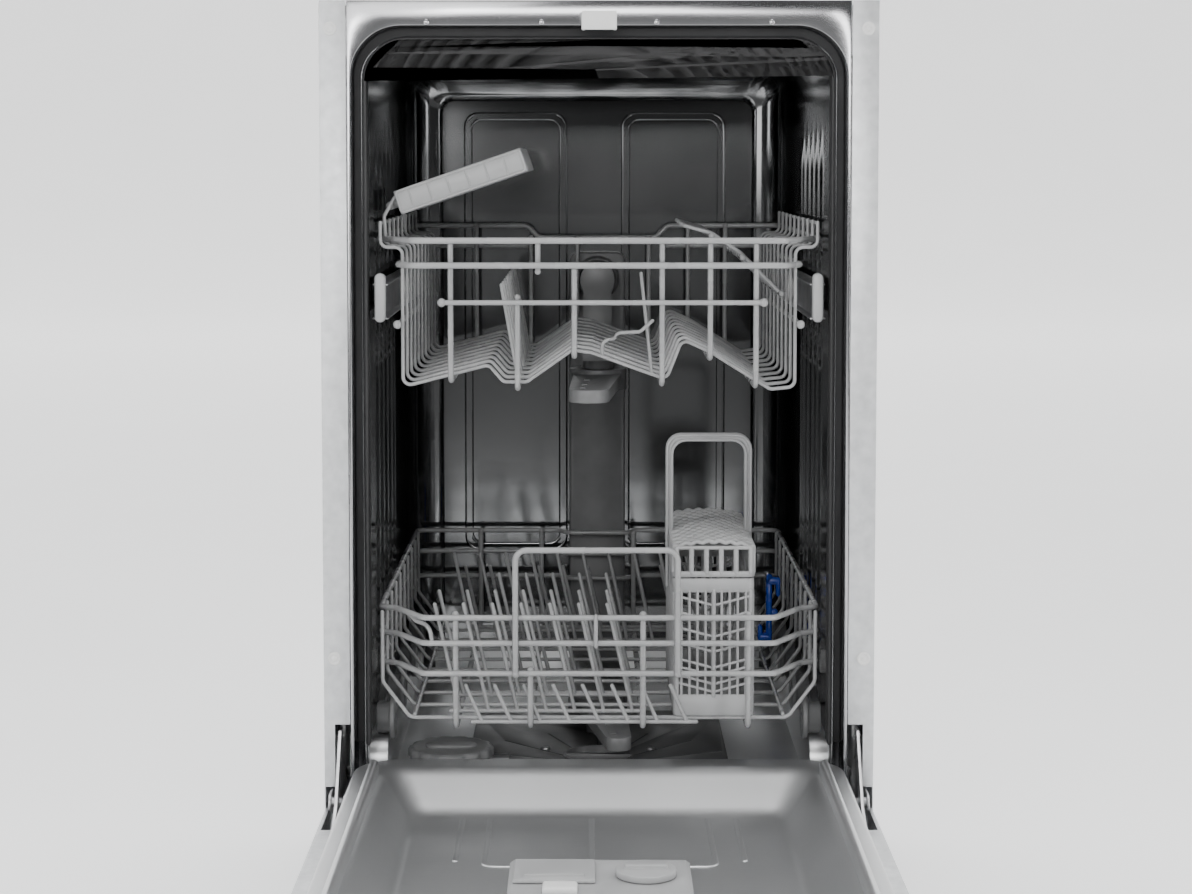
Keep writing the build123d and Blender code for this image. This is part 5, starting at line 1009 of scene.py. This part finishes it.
# Blocks of the blue clip: x range, y range, height range, corner and softness.
clipBlocks = (
    ((157, 162.5), (281, 295), (238, 303), 2.4, 1.4),
    ((157, 170), (281, 295), (293, 300), 2.4, 1.6),
    ((166, 170), (281, 295), (282, 300), 1.8, 1.4),
    ((159, 168), (282, 294), (262, 270), 2.4, 1.6),
    ((149.5, 162), (281, 295), (240, 247), 2.4, 1.6),
    ((149.5, 153.5), (281, 295), (240, 255), 1.8, 1.4),
)
clip = [pad(*clipBlock, "bluePlastic") for clipBlock in clipBlocks]
placed(merged("foldClip", clip), "fold_row", "blue_plastic", "fold_clip")

spring = Look(
    x=214.3, start=(9.0, 217.0), end=(300.0, 62.0), coil=(0.36, 0.96), radius=4.3, turns=52, perTurn=12,
    hook=5, wire=dict(radius=0.85, bend=0.5, sides=6, paint="zincSteel"),
)


# Coil between two straight ends, one on each side of the cabinet.
def doorSprings(look):
    (y0, z0), (y1, z1) = look.start, look.end
    length = math.hypot(y1 - y0, z1 - z0)
    along = ((y1 - y0) / length, (z1 - z0) / length)
    place, (low, high) = look.x, look.coil
    route = [(place, y0, z0)]
    steps = look.turns * look.perTurn
    for n in range(steps + 1):
        share = low + (high - low) * n / steps
        angle = 2 * math.pi * n / look.perTurn
        out, up = look.radius * math.cos(angle), look.radius * math.sin(angle)
        y, z = y0 + (y1 - y0) * share - along[1] * up, z0 + (z1 - z0) * share + along[0] * up
        route.append((place + out, y, z))
    route.append((place, y1, z1))
    hook = [(place - look.hook, y0, z0), (place, y0, z0)]
    return wires([route, mirroredRoute(route), hook, mirroredRoute(hook)], look.wire)


placed(doorSprings(spring), "cabinet", "hinge_steel", "door_springs").name = "doorSprings"


# Moulded and pressed parts, with their edges softened

edges = Look(weld=0.02, flat=0.2, sharp=28.0, smooth=40.0, segments=2)


def weldGroup():
    tree, source, target = groupOf("softEdges", ())
    merge = addNode(tree, "GeometryNodeMergeByDistance", {"Distance": mm(edges.weld)})
    tree.links.new(source.outputs["Geometry"], merge.inputs["Geometry"])
    tree.links.new(merge.outputs["Geometry"], target.inputs["Geometry"])
    return tree


weldNodes = weldGroup()


# A copy of a CAD node's mesh with welded faces, rounded edges and smooth shading.
def softened(node, name, width, finish):
    copy = meshPiece(name, [])
    copy.data = cad[node].data.copy()
    grown(copy, weldNodes, {})
    form = bmesh.new()
    form.from_mesh(copy.data)
    bmesh.ops.dissolve_limit(
        form, angle_limit=math.radians(edges.flat), verts=form.verts, edges=form.edges,
        use_dissolve_boundaries=False,
    )
    form.to_mesh(copy.data)
    form.free()
    bevel = copy.modifiers.new("round", "BEVEL")
    bevel.width = mm(width)
    bevel.segments = edges.segments
    bevel.limit_method = "ANGLE"
    bevel.angle_limit = math.radians(edges.sharp)
    bevel.use_clamp_overlap = True
    painted(baked(copy), paint[finish])
    for face in copy.data.polygons:
        face.use_smooth = True
    copy.data.set_sharp_from_angle(angle=math.radians(edges.smooth))
    return copy


# Body of each node's copy and width of its rounding.
soft = dict(
    tub_floor=("cabinet", 4.0),
    sump=("cabinet", 1.2),
    filter_plate=("cabinet", 0.6),
    filter_cup=("filter_cup", 0.7),
    lower_arm=("lower_arm", 2.2),
    upper_arm=("upper_arm", 2.2),
    upper_feed_pipe=("upper_rack", 2.0),
    feed_duct=("cabinet", 2.5),
    upper_rails=("upper_rails", 0.5),
    rail_caps=("upper_rails", 2.2),
    door_skin=("door", 0.5),
    control_panel=("door", 1.2),
    dispenser=("door", 1.0),
    detergent_lid=("detergent_lid", 0.8),
    latch_tab=("latch_tab", 1.2),
    rinse_cap=("rinse_cap", 1.0),
    latch_striker=("cabinet", 0.9),
    hinge_arms=("door", 0.6),
    hinge_brackets=("cabinet", 0.5),
    side_panel_left=("cabinet", 0.3),
    side_panel_right=("cabinet", 0.3),
    tub_collar=("cabinet", 0.5),
    door_gasket=("cabinet", 1.8),
    base_tray=("cabinet", 1.0),
    wash_pump=("cabinet", 2.5),
    drain_pump=("cabinet", 2.0),
    kick_plate=("cabinet", 0.4),
    air_break=("cabinet", 2.5),
    terminal_box=("cabinet", 1.2),
    inlet_valve=("cabinet", 0.9),
    softener=("cabinet", 1.5),
    door_lock=("door", 0.8),
)
# Finishes that differ from their slots'; the tub floor's is stainless painted much lighter than the tub's
# walls, as painted light.
ownFinish = dict(
    tub_floor="litFloorSteel", upper_rails="zincSteel", softener="milkyPlastic", door_lock="darkPlastic",
)
for wheels in ("lower_wheels_1", "lower_wheels_2", "lower_wheels_3", "lower_wheels_4"):
    soft[wheels] = (wheels, 1.0)
    ownFinish[wheels] = "greyPlastic"
for roller in ("wall_rollers_front", "rack_rollers_front", "wall_rollers_rear", "rack_rollers_rear"):
    soft[roller] = (roller, 0.9)
for foot in ("foot_front_left", "foot_front_right", "foot_rear"):
    soft[foot] = (foot, 0.8)
longNames = {"sump": "sump_bowl", "dispenser": "dispenser_body", "softener": "softener_tank"}
slotOf = {part["node"]: part["material_slot"] for part in frame["record"]["subparts"]}
for node, (body, width) in soft.items():
    first, *others = longNames.get(node, node).split("_")
    name = first + "".join(word.title() for word in others)
    finish = ownFinish.get(node, slotPaint[slotOf[node]])
    placed(softened(node, name, width, finish), body, slotOf[node], node)
print("softened parts made,", len(soft))


# Room: pale paper that rises behind, painted dark in front as painted shade and glowing more towards the
# back as painted light, with soft lights and the camera

def softbox(name, look):
    light = bpy.data.lights.new(name, "AREA")
    light.shape = "RECTANGLE"
    light.size, light.size_y = look["size"]
    light.energy = look["power"]
    lamp = bpy.data.objects.new(name, light)
    bpy.context.scene.collection.objects.link(lamp)
    lamp.location = look["place"]
    lamp.rotation_euler = (Vector(look["aim"]) - lamp.location).to_track_quat("-Z", "Y").to_euler()
    return lamp


room = Look(
    half=30.0, sweepStart=8.0, sweepRadius=4.0, sweepSteps=16, wallTop=16.0,
    paper=((0.93, 0.93, 0.93), (0.95, 0.95, 0.95)), paperScale=3.0, paperRoughness=0.9,
    # The next line holds the painted shade in front of the object and the painted glow of the paper, which
    # grows towards the back.
    frontShade=(0.10, 0.10, 0.10), fadeEnds=(-2.2, -0.8), glowEnds=(0.5, 7.0), glow=(0.5, 1.25),
    world=(0.98, 0.99, 1.0), worldTurn=(-0.1, 0.35), worldStrength=(0.07, 3.2),
    lights=dict(
        keyLeft=dict(size=(1.3, 1.5), power=22.0, place=(-1.0, -3.0, 1.35), aim=(-0.1, 0, 0.6)),
        fill=dict(size=(1.4, 0.35), power=16.0, place=(0.1, -2.4, 1.08), aim=(0, 0.15, 0.17)),
        sideLeft=dict(size=(0.3, 1.7), power=20.0, place=(-1.8, -1.6, 1.1), aim=(0, 0, 0.4)),
        sideRight=dict(size=(0.3, 1.7), power=24.0, place=(1.9, -1.4, 1.1), aim=(0, 0, 0.4)),
        top=dict(size=(2.0, 1.2), power=34.0, place=(0, -0.5, 2.6), aim=(0, -0.3, 0.3)),
    ),
)
for name, look in room.lights.items():
    softbox(name, look)


# Reads a position or direction and gives its Y as a value to build on.
def depthOf(tree, source):
    coords = addNode(tree, "ShaderNodeTexCoord")
    split = addNode(tree, "ShaderNodeSeparateXYZ")
    tree.links.new(coords.outputs[source], split.inputs["Vector"])
    return split.outputs["Y"]


world = bpy.data.worlds.new("studio")
bpy.context.scene.world = world
world.use_nodes = True
sky = world.node_tree
strength = ranged(sky, depthOf(sky, "Generated"), room.worldTurn, room.worldStrength)
sky.links.new(strength, sky.nodes["Background"].inputs["Strength"])
sky.nodes["Background"].inputs["Color"].default_value = (*room.world, 1)


def studioPaint(look):
    material, tree, shader = newTree("studioPaint")
    shade = addNode(tree, "ShaderNodeMix", data_type="RGBA")
    shade.inputs["A"].default_value = (*look.frontShade, 1)
    paper = shadeBetween(tree, noiseOf(tree, (1, 1, 1), look.paperScale), *look.paper)
    tree.links.new(paper, shade.inputs["B"])
    depth = depthOf(tree, "Object")
    # painted shade: the paper's colour turns dark in front of the object
    tree.links.new(ranged(tree, depth, look.fadeEnds, (0.0, 1.0)), shade.inputs["Factor"])
    tree.links.new(shade.outputs["Result"], shader.inputs["Base Color"])
    tree.links.new(shade.outputs["Result"], shader.inputs["Emission Color"])
    # painted light: the paper glows, more strongly further back
    tree.links.new(ranged(tree, depth, look.glowEnds, look.glow), shader.inputs["Emission Strength"])
    shader.inputs["Roughness"].default_value = look.paperRoughness
    return material


# A floor that bends up into a wall far behind the object.
def studioSweep(look):
    half, start, radius, steps = look.half, look.sweepStart, look.sweepRadius, look.sweepSteps
    sweep = [(-half, 0.0), (start, 0.0)]
    for n in range(1, steps + 1):
        turn = math.radians(90 * n / steps)
        sweep.append((start + radius * math.sin(turn), radius * (1 - math.cos(turn))))
    sweep.append((sweep[-1][0], look.wallTop))
    points = [(x, y, z) for y, z in sweep for x in (-half, half)]
    faces = [(2 * n, 2 * n + 1, 2 * n + 3, 2 * n + 2) for n in range(len(sweep) - 1)]
    piece = meshPiece("studioFloor", points, faces=faces)
    for face in piece.data.polygons:
        face.use_smooth = True
    piece.data.materials.append(studioPaint(look))
    return piece


studioSweep(room)

view = dict(
    place=(-7.3, -1900.0, 687.0),
    pitch=4.0,
    focal=2366.0,  # in pixels of the photograph
    width=1192.0,
    height=894.0,
    horizon=(590.0, 161.0),  # the photograph's vanishing point, in its pixels
)
cameraData = bpy.data.cameras.new("camera")
camera = bpy.data.objects.new("camera", cameraData)
bpy.context.scene.collection.objects.link(camera)
camera.location = at(*view["place"])
camera.rotation_euler = (math.radians(90 - view["pitch"]), 0, 0)
cameraData.sensor_width = 36.0
cameraData.lens = view["focal"] / view["width"] * cameraData.sensor_width
tilted = view["focal"] * math.tan(math.radians(view["pitch"]))
cameraData.shift_x = (view["width"] / 2 - view["horizon"][0]) / view["width"]
cameraData.shift_y = -(view["height"] / 2 - view["horizon"][1] - tilted) / view["width"]
cameraData.clip_end = 100.0
bpy.context.scene.camera = camera
print("room ready")
